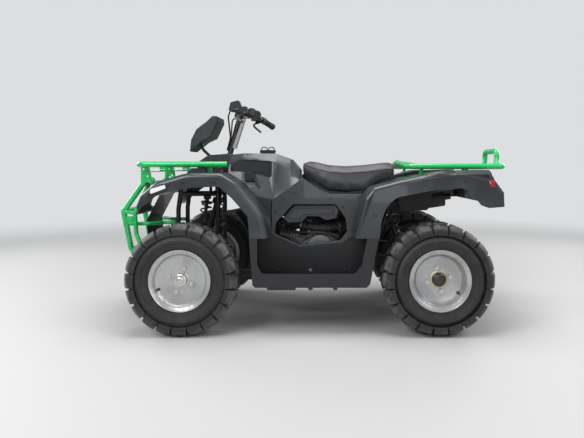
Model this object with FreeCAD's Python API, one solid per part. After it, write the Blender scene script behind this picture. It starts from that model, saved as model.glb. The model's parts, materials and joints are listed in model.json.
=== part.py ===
import FreeCAD, Part
import math
import os

# Utility quad bike, modelled in millimetres: front towards -X, its left side towards -Y,
# +Z up, standing on z = 0 with the origin below the middle of its outer box.

V = FreeCAD.Vector
UP = V(0, 0, 1)
LATERAL = V(0, 1, 0)

# Driving dimensions of the chassis
WHEELBASE = 1200.0
FRONT_TRACK = 880.0
REAR_TRACK = 810.0
REACH_X = 995.0            # from the middle to the bumper's corner and to the rear hoop
TUBE_R = 14.0              # green rack and bumper tube
RAIL_R = 15.0              # black frame tube
WALL = 4.0                 # moulded plastic
SHEET = 3.0                # pressed steel
AIR = 0.5                  # seat between a bolted piece and what carries it
FIT = 0.3                  # running gap round a pin or shaft

FRONT_X = -WHEELBASE / 2
REAR_X = WHEELBASE / 2

# Tyres and rims
TYRE_R = 260.0
LUG_DEPTH = 15.0
BEAD_R = 127.0
FLANGE_R = 144.0
RIM_INSET = 16.0           # tyre's side to the rim's flange
FLANGE_RISE = 6.0          # flange edge to bead seat, along the axle
FRONT_TYRE_W = 180.0
REAR_TYRE_W = 250.0
LUGS = 20                  # blocks in each of the two rows
DISC_T = 4.0
FRONT_RECESS = 22.0        # rim edge to wheel disc
REAR_RECESS = 46.0
HUB_CAP_R = 30.0
STUD_CIRCLE_R, STUD_R, NUT_R = 55.0, 6.0, 11.0
FRONT_STUD_DEG, REAR_STUD_DEG = 72.0, 12.0
SPINDLE_R = 12.0
BRAKE_R = 88.0
BRAKE_Y = 26.0             # front brake disc, inboard of the wheel's middle plane
AXLE_R = 17.0
BRAKE_SIDE_Y = 150.0       # rear brake disc and its radius
REAR_BRAKE_R = 95.0
CHAIN_Y = 150.0
SPROCKET_R = 82.0
CHAIN_TEETH = 24
DRIVE_X, DRIVE_Z, DRIVE_R = 122.0, 345.0, 30.0
AXLE_Z = 260.0             # axle height that the chassis is drawn at
STAND = TYRE_R - AXLE_Z    # lift that sets it down on its tyres

# Steering
KING_INSET = 75.0          # kingpin axis inboard of the wheel's middle plane
KING_Y = FRONT_TRACK / 2 - KING_INSET
STEER_ARM = 65.0           # pitman and knuckle arms, centre to centre along X
STEER_SPLAY = 25.0         # their sideways part
RAKE_DEG = 15.0
COLUMN_FOOT = V(-611.0, 0, 272.0)
COLUMN_R = 15.0
COLUMN_TAIL = 22.0         # column below the pitman arm
COLUMN_TOP_Z = 1066.0
BAR_R = 11.0
BAR_LIFT = 22.0            # bar above the column's top
RAKE = math.radians(RAKE_DEG)
STEER_AXIS = V(math.sin(RAKE), 0, math.cos(RAKE))
COLUMN_TOP = COLUMN_FOOT + STEER_AXIS * ((COLUMN_TOP_Z - COLUMN_FOOT.z) / STEER_AXIS.z)
GRIP_START = COLUMN_TOP + V(98.2, -262, -4)
GRIP_END = COLUMN_TOP + V(140.2, -392, -30)
ROD_Z = COLUMN_FOOT.z + STEER_ARM * math.sin(RAKE)
DAMPER_TOP = V(-545, -160, 632)
DAMPER_FOOT = V(-572, 103 - KING_Y, 231)
REAR_DAMPER_TOP = V(400, 0, 590)
REAR_DAMPER_FOOT = V(495, 0, 318)
BUSH_R = 15.0

# Bodywork
FENDER_Y = 490.0           # outer edge of the fenders and footboards
FENDER_IN = 246.0          # inner edge of the fenders, against the decks
SHOULDER_R = 24.0
PAD_RISE = 3.0
PANEL_Y = 245.0            # outer face of the side panels
TANK_TOP = 856.0
SEAT_HALF = 155.0
RACK_HALF = 330.0
RAIL_Y = 72.7              # lower and upper frame rails
TOWER_Y = 100.0            # bulkhead tubes beside them
TOWER_R = 12.0
FRONT_RACK_Z = 798.0
REAR_RACK_Z = 788.0
FLOOR_Z = 224.0            # underside of the footwells
GUARD_FOOT_X = -812.0      # the bumper's bottom crossbar, in front of the rails
GUARD_FOOT_Z = 300.0
GUARD_STAY_Z = 490.0
ENGINE_Z = 240.0
STRUT_Z = 420.0            # where the rear uprights of the two frames meet
PIVOT_X, PIVOT_Z = 200.0, 308.0
SEAT_PAN_Z = 646.0
NOSE_X = TUBE_R - REACH_X          # middle of the bumper's foremost crossbar
TAIL_SHARE = (REACH_X - REAR_X) / 395.0    # the tail's length behind the rear axle, 1 as built
STUB_END = V(NOSE_X + 155, -260, 697)      # side stub of the bumper that holds the rack's gusset
STUB_START = V(NOSE_X + 149, -165, 718)
HITCH_X, HITCH_Z, HITCH_R = 700.0, 266.0, 8.5
DOME_HALF = 130.0          # raised middle of the front cowl
AIRBOX_TOP = 588.0


def tail(x, z, *corner):
    """Point behind the rear axle, which moves with the tail's length."""
    return (REAR_X + (x - REAR_X) * TAIL_SHARE, z) + tuple(radius * TAIL_SHARE for radius in corner)


TAIL_X = tail(840, 0)[0]           # rear end of the frame, under the rear rack

# Side lines of the bodywork, each point (x, z[, corner radius])
REAR_DECK = [(300, 640), (420, 712), (600, 742), tail(852, 764), tail(905, 668), tail(908, 600)]
FRONT_DECK = [(-800, 640), (-716, 716), (-579, 752), (-437, 752)]
FRONT_CREST = [(-812, 600), (-795, 650), (-716, 716, 60), (-579, 757, 200), (-415, 757, 60),
               (-330, 702, 120), (-250, 600, 40), (-212, 540), (-196, 452.5)]
FRONT_LIP = [(-806, 562), (-781, 598, 30), (-702, 661, 120), (-562, 687, 200), (-426, 694, 25),
             (-365, 640, 80), (-291, 556, 20), (-282, 452.5)]
REAR_CREST = [(203, 452.5), (252, 640, 20), (288, 688, 60), (418, 722, 200), tail(604, 764, 200),
              tail(840, 772, 12), tail(862, 728, 6), tail(905, 668, 8), tail(908, 600)]
REAR_LIP = [(322, 452.5), (333, 548, 200), (361, 605, 90), (403, 643, 60), (556, 673, 200), tail(695, 690, 40),
            tail(741, 673, 60), tail(795, 606, 10), tail(830, 594)]
REAR_PAD = [(498, 718, 6), (560, 760), (560, 800), tail(664, 800), tail(676, 762, 16), tail(676, 733, 14), (590, 727)]
LAMP_SIDE = [tail(872.3, 720.5), tail(895.6, 688), tail(876, 674), tail(852.7, 706.5)]
LAMP_Y, LAMP_HALF = 320.0, 45.0
PANEL_FOOT = [(-201, 452), (-190, 436), (-58, 376, 14), (160, 400, 12), (208, 436), (212, 452)]


def on_side(a, b):
    return V(a, 0, b)


def on_plan(a, b):
    return V(a, b, 0)


def on_front(a, b):
    return V(0, a, b)


def outline(points, place):
    """Closed wire through (a, b) or (a, b, corner radius) points."""
    corners = []
    count = len(points)
    for i, point in enumerate(points):
        here = V(point[0], point[1], 0)
        radius = point[2] if len(point) > 2 else 0
        to_last = (V(points[i - 1][0], points[i - 1][1], 0) - here).normalize()
        to_next = (V(points[(i + 1) % count][0], points[(i + 1) % count][1], 0) - here).normalize()
        if radius:
            half = to_last.getAngle(to_next) / 2
            cut = radius / math.tan(half)
            inward = (to_last + to_next).normalize()
            middle = here + inward * (radius / math.sin(half) - radius)
            corners.append((here + to_last * cut, middle, here + to_next * cut))
        else:
            corners.append((here, None, here))
    edges = []
    for i, (enter, middle, leave) in enumerate(corners):
        if middle:
            edges.append(Part.Arc(place(enter.x, enter.y), place(middle.x, middle.y),
                                  place(leave.x, leave.y)).toShape())
        following = corners[(i + 1) % count][0]
        if leave.distanceToPoint(following) > 1e-6:
            edges.append(Part.LineSegment(place(leave.x, leave.y),
                                          place(following.x, following.y)).toShape())
    return Part.Wire(edges)


def slab(points, y0, y1):
    """Side outline in X and Z, drawn out from y0 to y1."""
    face = Part.Face(outline(points, on_side))
    face.translate(V(0, y0, 0))
    return face.extrude(V(0, y1 - y0, 0))


def plate(points, z0, z1):
    """Plan outline in X and Y, drawn out from z0 to z1."""
    face = Part.Face(outline(points, on_plan))
    face.translate(V(0, 0, z0))
    return face.extrude(V(0, 0, z1 - z0))


def block(x0, x1, y0, y1, z0, z1):
    return Part.makeBox(x1 - x0, y1 - y0, z1 - z0, V(x0, y0, z0))


def rod(start, end, radius):
    return Part.makeCylinder(radius, start.distanceToPoint(end), start, end - start)


def fuse(*shapes):
    first = shapes[0]
    return first.multiFuse(list(shapes[1:])).removeSplitter() if len(shapes) > 1 else first


def mirrored(shape):
    return shape.mirror(V(0, 0, 0), LATERAL)


def beside(line, distance):
    """The open line moved sideways by a distance, with mitred corners."""
    moved = []
    for i, point in enumerate(line):
        here = V(point[0], point[1], 0)
        runs = []
        if i > 0:
            runs.append((here - V(line[i - 1][0], line[i - 1][1], 0)).normalize())
        if i < len(line) - 1:
            runs.append((V(line[i + 1][0], line[i + 1][1], 0) - here).normalize())
        normals = [V(-run.y, run.x, 0) for run in runs]
        middle = sum(normals[1:], V(normals[0])).normalize()
        stretch = distance / middle.dot(normals[0])
        moved.append((here.x + middle.x * stretch, here.y + middle.y * stretch) + tuple(point[2:]))
    return moved


def band(line, thickness):
    """Closed outline of a wall that follows an open line, on its left-hand side."""
    return list(line) + list(reversed(beside(line, thickness)))


def bent_tube(points, radius, bend):
    """Round tube along straight runs joined by tangent arcs."""
    nodes = [V(*point) for point in points]
    edges = []
    start = nodes[0]
    for i in range(1, len(nodes) - 1):
        to_last = (nodes[i - 1] - nodes[i]).normalize()
        to_next = (nodes[i + 1] - nodes[i]).normalize()
        half = to_last.getAngle(to_next) / 2
        room = 0.48 * min(nodes[i].distanceToPoint(nodes[i - 1]), nodes[i].distanceToPoint(nodes[i + 1]))
        cut = min(bend / math.tan(half), room)
        inward = (to_last + to_next).normalize()
        turn = cut * math.tan(half)
        middle = nodes[i] + inward * (turn / math.sin(half) - turn)
        enter = nodes[i] + to_last * cut
        leave = nodes[i] + to_next * cut
        edges.append(Part.LineSegment(start, enter).toShape())
        edges.append(Part.Arc(enter, middle, leave).toShape())
        start = leave
    edges.append(Part.LineSegment(start, nodes[-1]).toShape())
    path = Part.Wire(edges)
    ring = Part.Wire(Part.makeCircle(radius, nodes[0], nodes[1] - nodes[0]))
    return path.makePipeShell([ring], True, False)


def spin(rows, x, z, y=0.0):
    """Solid of revolution about an axis along Y; rows are (y, radius[, corner])."""
    face = Part.Face(outline(rows, on_front))
    solid = face.revolve(V(0, 0, 0), LATERAL, 360)
    solid.translate(V(x, y, z))
    return solid


def save(name, shape):
    shape = shape.removeSplitter() if shape.ShapeType != "Compound" else shape
    shape.translate(V(0, 0, STAND))
    shape.exportStep("parts/" + name + ".step")


# Wheels

def tyre(width, lugs):
    """Knobbly tyre about the Y axis: a hollow carcass with two staggered rows of blocks."""
    half = width / 2
    base = TYRE_R - LUG_DEPTH
    flange = half - RIM_INSET
    seat = flange - FLANGE_RISE
    # rows (y, radius) of the left half, from the bead outwards to the crown
    side = [(-seat + 2, BEAD_R + FIT), (-flange + 2, FLANGE_R + 2), (-half, FLANGE_R + 44),
            (-half * 0.62, base - 2)]
    rim_side = [(-y, r) for y, r in reversed(side)]
    inner = [(seat - 14, BEAD_R + FIT), (half * 0.72, base - 22), (-half * 0.72, base - 22),
             (-seat + 14, BEAD_R + FIT)]
    carcass = spin(side + rim_side + inner, 0, 0)
    tip = [(-half + 3, base - 34), (-half + 3, TYRE_R - 20), (-half * 0.62, TYRE_R), (half * 0.62, TYRE_R),
           (half - 3, TYRE_R - 20), (half - 3, base - 34)]
    envelope = spin(tip, 0, 0)
    pitch = 360.0 / lugs
    broad = TYRE_R * math.radians(pitch) * 0.78
    blocks = []
    for i in range(lugs):
        for hand in (-1, 1):
            # plan of one block: wide at the shoulder, slanting to a narrow root at the middle
            plan = [(-broad / 2, half + 5), (broad / 2, half + 5), (broad * 0.5, half * 0.56),
                    (broad * 0.3, half * 0.07), (-broad * 0.15, half * 0.07), (-broad * 0.5, half * 0.5)]
            foot = Part.Face(outline([(a, hand * b) for a, b in plan], on_plan))
            foot.translate(V(0, 0, base - 40))
            lug = foot.extrude(V(0, 0, 60))
            lug.rotate(V(0, 0, 0), LATERAL, pitch * (i + (0.5 if hand > 0 else 0)))
            blocks.append(lug)
    knobs = Part.makeCompound(blocks).common(envelope)
    return carcass.multiFuse(knobs.Solids)


def stud_spots(first_deg, y):
    """Centres of the four wheel studs at a place along the axle."""
    turns = [math.radians(first_deg + 90 * i) for i in range(4)]
    return [V(STUD_CIRCLE_R * math.cos(turn), y, STUD_CIRCLE_R * math.sin(turn)) for turn in turns]


def wheel_studs(first_deg, face, out):
    """Studs from a hub's face through the wheel disc, each with its six-sided nut; out is -1 or 1."""
    pieces = []
    for spot in stud_spots(first_deg, face):
        pieces.append(rod(spot - V(0, out * 2, 0), spot + V(0, out * (DISC_T + AIR + 15), 0), STUD_R))
        flats = [(spot.x + NUT_R * math.cos(math.pi / 3 * k), spot.z + NUT_R * math.sin(math.pi / 3 * k))
                 for k in range(6)]
        near, far = sorted((face + out * (DISC_T + AIR), face + out * (DISC_T + AIR + 11)))
        pieces.append(slab(flats, near, far))
    return pieces


def rim(width, recess, disc_r, step_r, first_deg):
    """Pressed steel rim about the Y axis, its outer face towards -Y."""
    half = width / 2 - RIM_INSET
    seat = half - FLANGE_RISE
    barrel = [(-half, FLANGE_R), (-seat, BEAD_R), (-seat + 26, BEAD_R - 2), (-seat + 38, BEAD_R - 16),
              (seat - 38, BEAD_R - 16), (seat - 26, BEAD_R - 2), (seat, BEAD_R), (half, FLANGE_R)]
    wall = spin(band(barrel, -SHEET), 0, 0)
    face_y = -half + recess
    dish = [(-seat + 4, BEAD_R - SHEET - 2), (face_y - 4, step_r), (face_y, disc_r), (face_y, HUB_CAP_R + FIT)]
    wheel = fuse(wall, spin(band(dish, DISC_T), 0, 0))
    for spot in stud_spots(first_deg, face_y):
        wheel = wheel.cut(rod(spot - V(0, 10, 0), spot + V(0, 10, 0), STUD_R + FIT))
    return wheel


FRONT_HUB_FACE = -(FRONT_TYRE_W / 2 - RIM_INSET) + FRONT_RECESS + DISC_T
REAR_HUB_FACE = -(REAR_TYRE_W / 2 - RIM_INSET) + REAR_RECESS + DISC_T


def front_hub():
    face = FRONT_HUB_FACE
    rows = [(face - 14, 0), (face - 18, 20), (face - 15, HUB_CAP_R), (face, HUB_CAP_R), (face, 70),
            (face + 9, 70), (face + 12, 38), (BRAKE_Y, 34), (BRAKE_Y, BRAKE_R), (BRAKE_Y + 4, BRAKE_R),
            (BRAKE_Y + 4, 32), (BRAKE_Y + 8, 32), (BRAKE_Y + 8, SPINDLE_R + FIT), (face - 6, SPINDLE_R + FIT),
            (face - 6, 0)]
    return fuse(spin(rows, 0, 0), *wheel_studs(FRONT_STUD_DEG, face, -1))


def knuckle():
    """Left upright about the wheel's centre: post, stub, steering arm and brake caliper."""
    king = KING_INSET
    post = slab([(-22, -62, 6), (22, -62, 6), (20, 70, 6), (-20, 70, 6)], king - 13, king + 13)
    boss = rod(V(0, king - 30, 0), V(0, king + 12, 0), 27)
    stub = rod(V(0, king, 0), V(0, FRONT_HUB_FACE - 2, 0), SPINDLE_R)
    arm_z = ROD_Z - AXLE_Z
    arm = fuse(plate([(4, king - 10), (4, king + 10), (-STEER_ARM, king - STEER_SPLAY + 11),
                      (-STEER_ARM - 11, king - STEER_SPLAY), (-STEER_ARM, king - STEER_SPLAY - 11)],
                     arm_z - 21.5, arm_z - 13.5),
               rod(V(-STEER_ARM, king - STEER_SPLAY, arm_z - 16), V(-STEER_ARM, king - STEER_SPLAY, arm_z + 9), 5))
    pads = block(46, 84, BRAKE_Y - 12, BRAKE_Y + 16, -24, 24).cut(
        block(40, 92, BRAKE_Y - 2, BRAKE_Y + 6, -30, 30))
    bridge = block(BRAKE_R + 2, BRAKE_R + 12, BRAKE_Y - 12, BRAKE_Y + 16, -24, 24)
    yoke = block(84, BRAKE_R + 12, BRAKE_Y + 6.5, BRAKE_Y + 16, -24, 24)
    yoke_out = block(84, BRAKE_R + 12, BRAKE_Y - 12, BRAKE_Y - 2.5, -24, 24)
    stay = block(0, 60, BRAKE_Y + 10, king, -14, 14)
    pins = [rod(V(0, king, z), V(0, king, z + up), 8) for z, up in ((-62, -9), (70, 9))]
    return fuse(post, boss, stub, arm, pads, bridge, yoke, yoke_out, stay, *pins)


def axle_half(hand, boss_y, flange_r):
    """Half of the rear axle with its wheel hub; the boss carries the brake disc or the chain wheel."""
    hub = REAR_TRACK / 2 - REAR_HUB_FACE
    rows = [(hub + 22, 0), (hub + 26, 24), (hub + 20, HUB_CAP_R), (hub, HUB_CAP_R), (hub, 68), (hub - 9, 68),
            (hub - 14, 32), (hub - 80, 26), (hub - 84, AXLE_R), (boss_y + 14, AXLE_R), (boss_y + 12, 30),
            (boss_y + 3, 34), (boss_y + 3, flange_r), (boss_y - 1, flange_r), (boss_y - 1, 30),
            (boss_y - 10, AXLE_R), (-1, AXLE_R), (-1, 0)]
    half = fuse(spin([(hand * y, r) for y, r in rows], 0, 0), *wheel_studs(REAR_STUD_DEG, hand * hub, hand))
    half.translate(V(REAR_X, 0, AXLE_Z))
    return half


def rear_axle():
    """Solid rear axle with hubs, chain wheel and brake disc."""
    teeth = []
    half = math.pi / CHAIN_TEETH
    tip_r = SPROCKET_R - FIT
    for i in range(CHAIN_TEETH):
        turn = 2 * half * i
        teeth.append((tip_r * math.cos(turn), tip_r * math.sin(turn)))
        teeth.append(((tip_r - 6) * math.cos(turn + half), (tip_r - 6) * math.sin(turn + half)))
    wheel = slab(teeth, CHAIN_Y - 3, CHAIN_Y + 3)
    for i in range(5):
        turn = 2 * math.pi * i / 5
        spot = V(54 * math.cos(turn), CHAIN_Y - 5, 54 * math.sin(turn))
        wheel = wheel.cut(rod(spot, spot + V(0, 10, 0), 12))
    wheel.translate(V(REAR_X, 0, AXLE_Z))
    return fuse(axle_half(-1, BRAKE_SIDE_Y, REAR_BRAKE_R), axle_half(1, CHAIN_Y, 40), wheel)


def chain():
    """Roller chain as one loop round both sprockets, its links shown by waisted side plates."""
    def loop(out, width):
        big = rod(V(REAR_X, CHAIN_Y - width, AXLE_Z), V(REAR_X, CHAIN_Y + width, AXLE_Z), SPROCKET_R + out)
        small = rod(V(DRIVE_X, CHAIN_Y - width, DRIVE_Z), V(DRIVE_X, CHAIN_Y + width, DRIVE_Z), DRIVE_R + out)
        span = math.hypot(REAR_X - DRIVE_X, DRIVE_Z - AXLE_Z)
        slope = math.atan2(AXLE_Z - DRIVE_Z, REAR_X - DRIVE_X)
        lean = math.asin((SPROCKET_R - DRIVE_R) / span)
        corners = []
        for x, z, r, turn in ((DRIVE_X, DRIVE_Z, DRIVE_R, slope + math.pi / 2 + lean),
                              (REAR_X, AXLE_Z, SPROCKET_R, slope + math.pi / 2 + lean),
                              (REAR_X, AXLE_Z, SPROCKET_R, slope - math.pi / 2 - lean),
                              (DRIVE_X, DRIVE_Z, DRIVE_R, slope - math.pi / 2 - lean)):
            corners.append((x + (r + out) * math.cos(turn), z + (r + out) * math.sin(turn)))
        return fuse(big, small, slab(corners, CHAIN_Y - width, CHAIN_Y + width))
    return loop(9, 6).cut(loop(0, 8))


# Frame

def lower_frame():
    """Two bottom rails with crossbars, engine mounts and footpeg brackets."""
    parts = []
    bar_z = FLOOR_Z - 12 - FIT
    for hand in (-1, 1):
        y = hand * RAIL_Y
        parts.append(bent_tube([(GUARD_FOOT_X + TUBE_R + FIT, y, GUARD_FOOT_Z), (-740, y, GUARD_FOOT_Z),
                                (-690, y, 195), (130, y, 195), (PIVOT_X, y, 270), (PIVOT_X, y, STRUT_Z)],
                               RAIL_R, 50))
        for x in (-30, 88):
            parts.append(block(x - 18, x + 18, y - 12, y + 12, 205, ENGINE_Z - FIT))
        parts.append(slab([(-212, 186, 6), (-74, 186, 6), (-69, bar_z + 12), (-217, bar_z + 12)],
                          hand * 330 - 35, hand * 330 + 35))
    for x in (-640, -430, 140):
        parts.append(rod(V(x, -RAIL_Y, 195), V(x, RAIL_Y, 195), 12))
    parts.append(rod(V(PIVOT_X, -RAIL_Y, 400), V(PIVOT_X, RAIL_Y, 400), 12))
    for x in (-190, 0, 118):
        parts.append(rod(V(x, -430, bar_z), V(x, 430, bar_z), 12))
    return fuse(*parts)


def upper_frame():
    """Backbone rails under tank and seat, and the rear subframe under the rear rack."""
    parts = []
    for hand in (-1, 1):
        y = hand * RAIL_Y
        parts.append(bent_tube([(-508, y, 655), (-300, y, 655), (-60, y, 600), (320, y, 600), (TAIL_X + 20, y, 700)],
                               RAIL_R, 120))
        parts.append(rod(V(PIVOT_X, y, STRUT_Z + FIT), V(PIVOT_X, y, 600), 12))
        parts.append(rod(V(560, y, 640), V(205, y, 455), 10))
        parts.append(rod(V(560, hand * 40, 644), V(560, hand * 40, 760), 9))
        near, far = sorted((hand * (12 + FIT), hand * (16 + FIT)))
        parts.append(block(REAR_DAMPER_TOP.x - 14, REAR_DAMPER_TOP.x + 14, near, far, REAR_DAMPER_TOP.z - 13, 620))
    for x, z in ((-455, 655), (-300, 655), (0, 600), (REAR_DAMPER_TOP.x, 615), (560, 644), (TAIL_X + 5, 697), (180, 600)):
        parts.append(rod(V(x, -RAIL_Y, z), V(x, RAIL_Y, z), 11))
    parts.append(rod(V(PIVOT_X, -RAIL_Y, 440), V(PIVOT_X, RAIL_Y, 440), 10))
    parts.append(block(165, 195, -60, 60, 602, SEAT_PAN_Z - AIR))
    parts.append(block(-10, 30, -150, -76, AIRBOX_TOP + AIR, AIRBOX_TOP + 8))
    return fuse(*parts).cut(above(REAR_DECK, -WALL - AIR))


def above(line, lift):
    """Everything over an open side line that runs towards +X, moved up square to itself by a lift."""
    moved = [point[:2] for point in beside(line, lift)]
    top = max(z for x, z in moved) + 400
    return slab(moved + [(moved[-1][0], top), (moved[0][0], top)], -FENDER_Y - 50, FENDER_Y + 50)


def beneath(line, lift):
    """Everything under the same moved line."""
    moved = [point[:2] for point in beside(line, lift)]
    low = min(z for x, z in moved) - 200
    return slab(moved + [(moved[-1][0], low), (moved[0][0], low)], -FENDER_Y - 50, FENDER_Y + 50)


def headlamp_stay(radius):
    """Hooked stay from the bulkhead up through the cowl to the headlamp pod."""
    return bent_tube([(-560, 0, 640), (-560, 0, 842), (-602, 0, 880), (-612, 0, 930)], radius, 24)


def front_subframe():
    """Bulkhead that carries the wishbones, the dampers, the steering column and the headlamp stay."""
    parts = [headlamp_stay(8)]
    bearing = column_point(600)
    parts.append(rod(bearing - STEER_AXIS * 16, bearing + STEER_AXIS * 16, 27))
    foot = COLUMN_FOOT - STEER_AXIS * (COLUMN_TAIL + FIT)
    parts.append(rod(foot - STEER_AXIS * 24, foot, 20))
    towers = []
    for hand in (-1, 1):
        y = hand * TOWER_Y
        towers.append(bent_tube([(-712, y, 215), (-712, y, 560), (-688, y, 740)], TOWER_R, 80))
        towers.append(bent_tube([(-500, y, 215), (-500, y, 600), (-510, y, 760)], TOWER_R, 80))
        for z in (230, 355):
            parts.append(rod(V(-712, y, z), V(-500, y, z), TOWER_R - 1))
        parts.append(rod(V(-700, y, 640), V(-502, y, 640), 10))
        near, far = sorted((y, hand * 180))
        parts.append(block(DAMPER_TOP.x - 20, DAMPER_TOP.x + 20, near, far, 645.5, 652))
        for end in (-1, 1):
            x0, x1 = sorted((DAMPER_TOP.x + end * (12 + FIT), DAMPER_TOP.x + end * (16 + FIT)))
            near, far = sorted((hand * 144, hand * 176))
            parts.append(block(x0, x1, near, far, DAMPER_TOP.z - 14, 648))
    for x, z in ((-712, 330), (foot.x - 4, 232), (-500, 244), (-700, 640), (-560, 640), (-500, 470), (-712, 440),
                 (bearing.x + 6, 600)):
        parts.append(rod(V(x, -TOWER_Y, z), V(x, TOWER_Y, z), 10.5))
    bore = rod(bearing - STEER_AXIS * 40, bearing + STEER_AXIS * 40, COLUMN_R + FIT)
    towers = [tower.cut(above(FRONT_DECK, -WALL - AIR)) for tower in towers]
    return fuse(*towers, *parts).cut(bore)


def column_point(height):
    """Point of the steering axis at a height."""
    return COLUMN_FOOT + STEER_AXIS * ((height - COLUMN_FOOT.z) / STEER_AXIS.z)


def wishbones():
    """Left upper and lower A-arms: welded tube triangles with bushes, sockets and the damper's clevis."""
    arms = []
    pivot_y = -(TOWER_Y + TOWER_R + BUSH_R + FIT)
    # columns: pivot z, ball z, tube end over the ball, front and rear pivot x, tube radius, brace share
    for inner_z, ball_z, drop, ends, tube, share in ((230, AXLE_Z - 69.5, -7, (-695, -505), 10, 0.57),
                                                     (355, AXLE_Z + 77.5, 2.5, (-682, -620), 9, 0.35)):
        ball = V(FRONT_X, -KING_Y, ball_z)
        pieces = [Part.makeCylinder(17, 14, ball - UP * 7)]
        brace = []
        for x in ends:
            foot = V(x, pivot_y, inner_z)
            pieces.append(rod(foot - V(20, 0, 0), foot + V(20, 0, 0), BUSH_R))
            end = ball + UP * drop
            pieces.append(rod(foot, end, tube))
            brace.append(foot + (end - foot) * share)
        pieces.append(rod(brace[0], brace[1], tube * 0.8))
        if inner_z < AXLE_Z:
            for end in (-1, 1):
                x0, x1 = sorted((DAMPER_FOOT.x + end * (12 + FIT), DAMPER_FOOT.x + end * (16 + FIT)))
                pieces.append(block(x0, x1, DAMPER_FOOT.y - 14, DAMPER_FOOT.y + 16, 202, DAMPER_FOOT.z + 14))
        arm = fuse(*pieces).cut(Part.makeCylinder(8 + FIT, 40, ball - UP * 20))
        arms.append(arm)
    return Part.makeCompound(arms)


def damper(foot, top, eye_axis, spring_r, turns):
    """Coil-over damper: body, eyes and the spring's coils as one turned zigzag."""
    axis = (top - foot).normalize()
    length = foot.distanceToPoint(top)
    rows = [(0, 4), (9, 4), (9, 26), (spring_r, 28), (spring_r, 34)]
    run = (length - 34 - 34) / turns
    for i in range(turns):
        rows.append((spring_r - 9, 34 + run * (i + 0.15)))
        rows.append((spring_r - 1, 34 + run * (i + 0.5)))
        rows.append((spring_r - 9, 34 + run * (i + 0.85)))
    rows += [(spring_r, length - 34), (spring_r, length - 28), (10, length - 26), (10, length - 4), (0, length - 4)]
    body = Part.Face(outline(rows, on_side)).revolve(V(0, 0, 0), UP, 360)
    body.Placement = FreeCAD.Placement(foot, FreeCAD.Rotation(UP, axis))
    eyes = [rod(eye - eye_axis * 12, eye + eye_axis * 12, 13) for eye in (foot, top)]
    return fuse(body, *eyes)


# Racks and bumper

def front_rack():
    x0, x1, z = NOSE_X + 125, -413.0, FRONT_RACK_Z
    half = RACK_HALF
    loop = [(x1, -half, z), (x0, -half, z), (x0, half, z), (x1, half, z)]
    parts = [bent_tube(loop, TUBE_R, 45)]
    parts.append(rod(V(x0, 0, z), V(x0 + 216, 0, z), 10))
    parts.append(rod(V(x0 + 156, -half, z), V(x0 + 156, half, z), 9))
    for hand in (-1, 1):
        y = hand * 285
        parts.append(rod(V(x0, hand * 165, z), V(-450, hand * 165, z), 10))
        parts.append(rod(V(-540, hand * (DOME_HALF + 1), z), V(-540, hand * half, z), 9))
        parts.append(rod(V(-506, y, z - 1), V(-506, y, 757 + AIR), 11))
        parts.append(rod(V(-506, hand * 165, z), V(-506, hand * half, z), 8))
        gusset = slab([(x0 - 13, z - 8), (x0 + 30, z - 8), (x0 + 44, 705, 8), (x0 + 11, 690, 8), (x0 - 13, 705, 8)],
                      hand * 230 - 3, hand * 230 + 3)
        for x, bolt_z in ((x0, 775), (x0 + 20, 738)):
            gusset = gusset.cut(rod(V(x, hand * 230 - 5, bolt_z), V(x, hand * 230 + 5, bolt_z), 5))
        parts.append(gusset)
        parts.append(slab([(x0 + 84, z), (x0 + 124, z), (x0 + 124, 680), (x0 + 112, 680), (x0 + 112, 774), (x0 + 84, 774)],
                          hand * 230 - 12, hand * 230 + 12))
        parts.append(rod(V(x0 + 14, hand * 230, 766), V(x0 + 116, hand * 230, 766), 5))
    rack = fuse(*parts).cut(beneath(FRONT_DECK, AIR))
    stub = rod(STUB_START, STUB_END + (STUB_END - STUB_START), TUBE_R + 1 + AIR)
    return rack.cut(stub).cut(mirrored(stub))


def bumper():
    """Front guard: one bent loop each side and a lower bar in a single run, outer bars and crossbars."""
    nose = NOSE_X
    run = [(nose + 143, -165, 722), (nose + 96, -165, 690), (nose, -165, 553), (nose + 41, -165, 352),
           (GUARD_FOOT_X, -165, GUARD_FOOT_Z)]
    guard = bent_tube(run + [(x, -y, z) for x, y, z in reversed(run)], TUBE_R, 30)
    parts = []
    for hand in (-1, 1):
        outer = hand * 215
        inner = hand * 165
        parts.append(bent_tube([(nose + 152, outer, 706), (nose + 76, outer, 545), (nose + 83, outer, 440),
                                (nose + 131, outer, 330)], TUBE_R - 3, 30))
        parts.append(rod(V(nose + 76, outer, 548), V(nose + 8, inner, 552), TUBE_R - 4))
        parts.append(rod(V(STUB_START.x, -hand * STUB_START.y, STUB_START.z),
                         V(STUB_END.x, -hand * STUB_END.y, STUB_END.z), TUBE_R + 1))
        parts.append(slab([(nose + 31, 533, 4), (nose + 76, 533), (nose + 81, 515), (nose + 76, 493),
                           (nose + 37, 497, 4)], outer - 4, outer + 4))
        parts.append(bent_tube([(nose + 15, inner, GUARD_STAY_Z), (nose + 131, inner, GUARD_STAY_Z),
                                (-790, hand * TOWER_Y, GUARD_STAY_Z),
                                (-712 - TOWER_R - FIT, hand * TOWER_Y, GUARD_STAY_Z)], TUBE_R - 4, 30))
        parts.append(rod(V(nose + 131, outer, 333), V(nose + 128, inner, 317), TUBE_R - 4))
    for x, z, radius in ((nose, 553, TUBE_R), (nose + 41, 354, TUBE_R - 2), (nose + 109, 699, TUBE_R - 2)):
        parts.append(rod(V(x, -165, z), V(x, 165, z), radius))
    return fuse(guard, *parts)


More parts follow.
